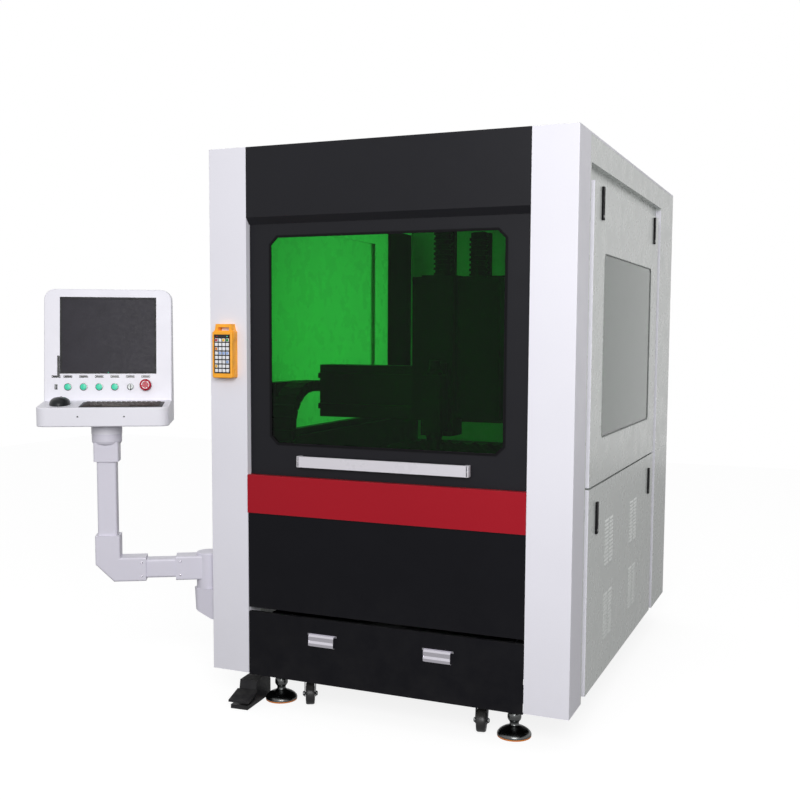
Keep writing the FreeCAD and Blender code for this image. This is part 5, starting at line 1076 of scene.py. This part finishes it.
buildArmFittings()
print("laser cutter: arm details built")


# laser head

nozzle = {"x": 403.7, "y": -512.1, "tipZ": 849.9,
          "profile": [(1.2, 0.0), (3.3, 0.1), (7.6, 12.1), (9.6, 14.1), (9.6, 20.1), (8.0, 21.1)]}


def buildNozzle():
    shape = bmesh.new()
    addLathe(shape, nozzle["profile"], (nozzle["x"], nozzle["y"], nozzle["tipZ"]), steps=32)
    finishPiece("nozzleTip", shape, millimetres, "head", ["nozzleCopper"])


buildNozzle()
print("laser cutter: head details built")


# studio and camera

studio = {
    "floorSize": 14.0, "floorSeen": rgb(0.9, 0.9, 0.9), "floorBounce": rgb(0.1, 0.1, 0.1),
    "cameraShare": 0.72, "glossShare": 0.42, "floorGlow": 1.18,
    "roomLight": 0.55, "roomRight": 0.8,
    "keyPlace": (2.0, -4.7, 2.5), "keyAim": (0.3, -0.7, 1.2), "keySize": 2.2, "keyPower": 150.0,
    "cabinPlace": (0.75, 0.25, 1.35), "cabinAim": (-0.3, 0.25, 1.3), "cabinWide": 1.4,
    "cabinDeep": 0.9, "cabinPower": 12.5, "cabinLit": ("upper_panel_left", "side_frame_left"),
}


def seenRays(tree, path):
    return mathNode(tree, "MAXIMUM", path.outputs["Is Camera Ray"],
                    mathNode(tree, "MAXIMUM", path.outputs["Is Glossy Ray"],
                             path.outputs["Is Transmission Ray"]))


def buildFloor():
    mesh = bpy.data.meshes.new("studioFloor")
    half = studio["floorSize"] / 2
    corners = [(-half, -half, 0), (half, -half, 0), (half, half, 0), (-half, half, 0)]
    mesh.from_pydata(corners, [], [(0, 1, 2, 3)])
    floor = bpy.data.objects.new("studioFloor", mesh)
    bpy.context.scene.collection.objects.link(floor)
    material, tree, shader = startMaterial("studioFloor", Roughness=0.9, Specular_IOR_Level=0.0)
    path = addNode(tree, "ShaderNodeLightPath")
    dim = mathNode(tree, "MAXIMUM", path.outputs["Is Diffuse Ray"], path.outputs["Is Glossy Ray"])
    feed(tree, shader, Base_Color=mixColour(tree, dim, studio["floorSeen"], studio["floorBounce"]))
    level = spread(tree, path.outputs["Is Glossy Ray"], 0.0, 1.0, studio["cameraShare"],
                   studio["glossShare"])
    share = mathNode(tree, "MULTIPLY", seenRays(tree, path), level)
    glow = addNode(tree, "ShaderNodeEmission",
                   {"Color": rgb(1, 1, 1), "Strength": studio["floorGlow"]})
    both = addNode(tree, "ShaderNodeMixShader", {0: share, 1: shader.outputs[0], 2: glow.outputs[0]})
    feed(tree, tree.nodes["Material Output"], Surface=both.outputs[0])
    mesh.materials.append(material)


def buildRoom():
    # white to the eye, in reflections and through glass; its light is softer, and falls off to the right
    world = bpy.data.worlds.new("studioRoom")
    world.use_nodes = True
    bpy.context.scene.world = world
    tree = world.node_tree
    path = addNode(tree, "ShaderNodeLightPath")
    towards = addNode(tree, "ShaderNodeSeparateXYZ",
                      {0: addNode(tree, "ShaderNodeTexCoord").outputs["Generated"]})
    soft = spread(tree, towards.outputs["X"], -0.2, 0.9, studio["roomLight"],
                  studio["roomLight"] * studio["roomRight"])
    unseen = mathNode(tree, "SUBTRACT", 1.0, seenRays(tree, path))
    level = mathNode(tree, "ADD", seenRays(tree, path), mathNode(tree, "MULTIPLY", unseen, soft))
    feed(tree, tree.nodes["Background"], Strength=level)
    tree.nodes["Background"].inputs["Color"].default_value = rgb(1, 1, 1)


def aimed(place, aim):
    return (Vector(aim) - Vector(place)).to_track_quat("-Z", "Y").to_euler()


def addLamp(name, place, aim, power, wide, deep=None, lit=()):
    lamp = bpy.data.lights.new(name, "AREA")
    lamp.size = wide
    if deep:
        lamp.shape = "RECTANGLE"
        lamp.size_y = deep
    lamp.energy = power
    holder = bpy.data.objects.new(name, lamp)
    holder.location = place
    holder.rotation_euler = aimed(place, aim)
    bpy.context.scene.collection.objects.link(holder)
    if lit:                                         # this lamp washes only the named nodes
        washed = bpy.data.collections.new(name + "Washed")
        for node in lit:
            washed.objects.link(nodes[node])
        holder.light_linking.receiver_collection = washed
        holder.light_linking.blocker_collection = washed
        holder.visible_glossy = False
        holder.visible_transmission = False


cameraSet = {"place": (1.68211, -3.82254, 1.2889), "turn": 0.4012, "tilt": 0.0844, "roll": 0.0053,
             "lens": 47.473, "shiftUp": 0.0282, "sightEnd": 60.0}


def buildCamera():
    turn, tilt, roll = cameraSet["turn"], cameraSet["tilt"], cameraSet["roll"]
    ahead = Vector((-math.sin(turn) * math.cos(tilt), math.cos(turn) * math.cos(tilt), -math.sin(tilt)))
    right = Vector((math.cos(turn), math.sin(turn), 0.0))
    up = right.cross(ahead)
    across = right * math.cos(roll) + up * math.sin(roll)
    upright = up * math.cos(roll) - right * math.sin(roll)
    camera = bpy.data.objects.new("camera", bpy.data.cameras.new("camera"))
    axes = Matrix((across, upright, -ahead)).transposed().to_4x4()
    camera.matrix_world = Matrix.Translation(cameraSet["place"]) @ axes
    camera.data.lens = cameraSet["lens"]
    camera.data.shift_y = cameraSet["shiftUp"]
    camera.data.clip_end = cameraSet["sightEnd"]
    bpy.context.scene.collection.objects.link(camera)
    bpy.context.scene.camera = camera


buildFloor()
buildRoom()
addLamp("keyLight", studio["keyPlace"], studio["keyAim"], studio["keyPower"], studio["keySize"])
addLamp("cabinLight", studio["cabinPlace"], studio["cabinAim"], studio["cabinPower"],
        studio["cabinWide"], studio["cabinDeep"], studio["cabinLit"])
buildCamera()
bpy.context.scene.view_settings.view_transform = "Standard"
print("laser cutter: studio and camera set")
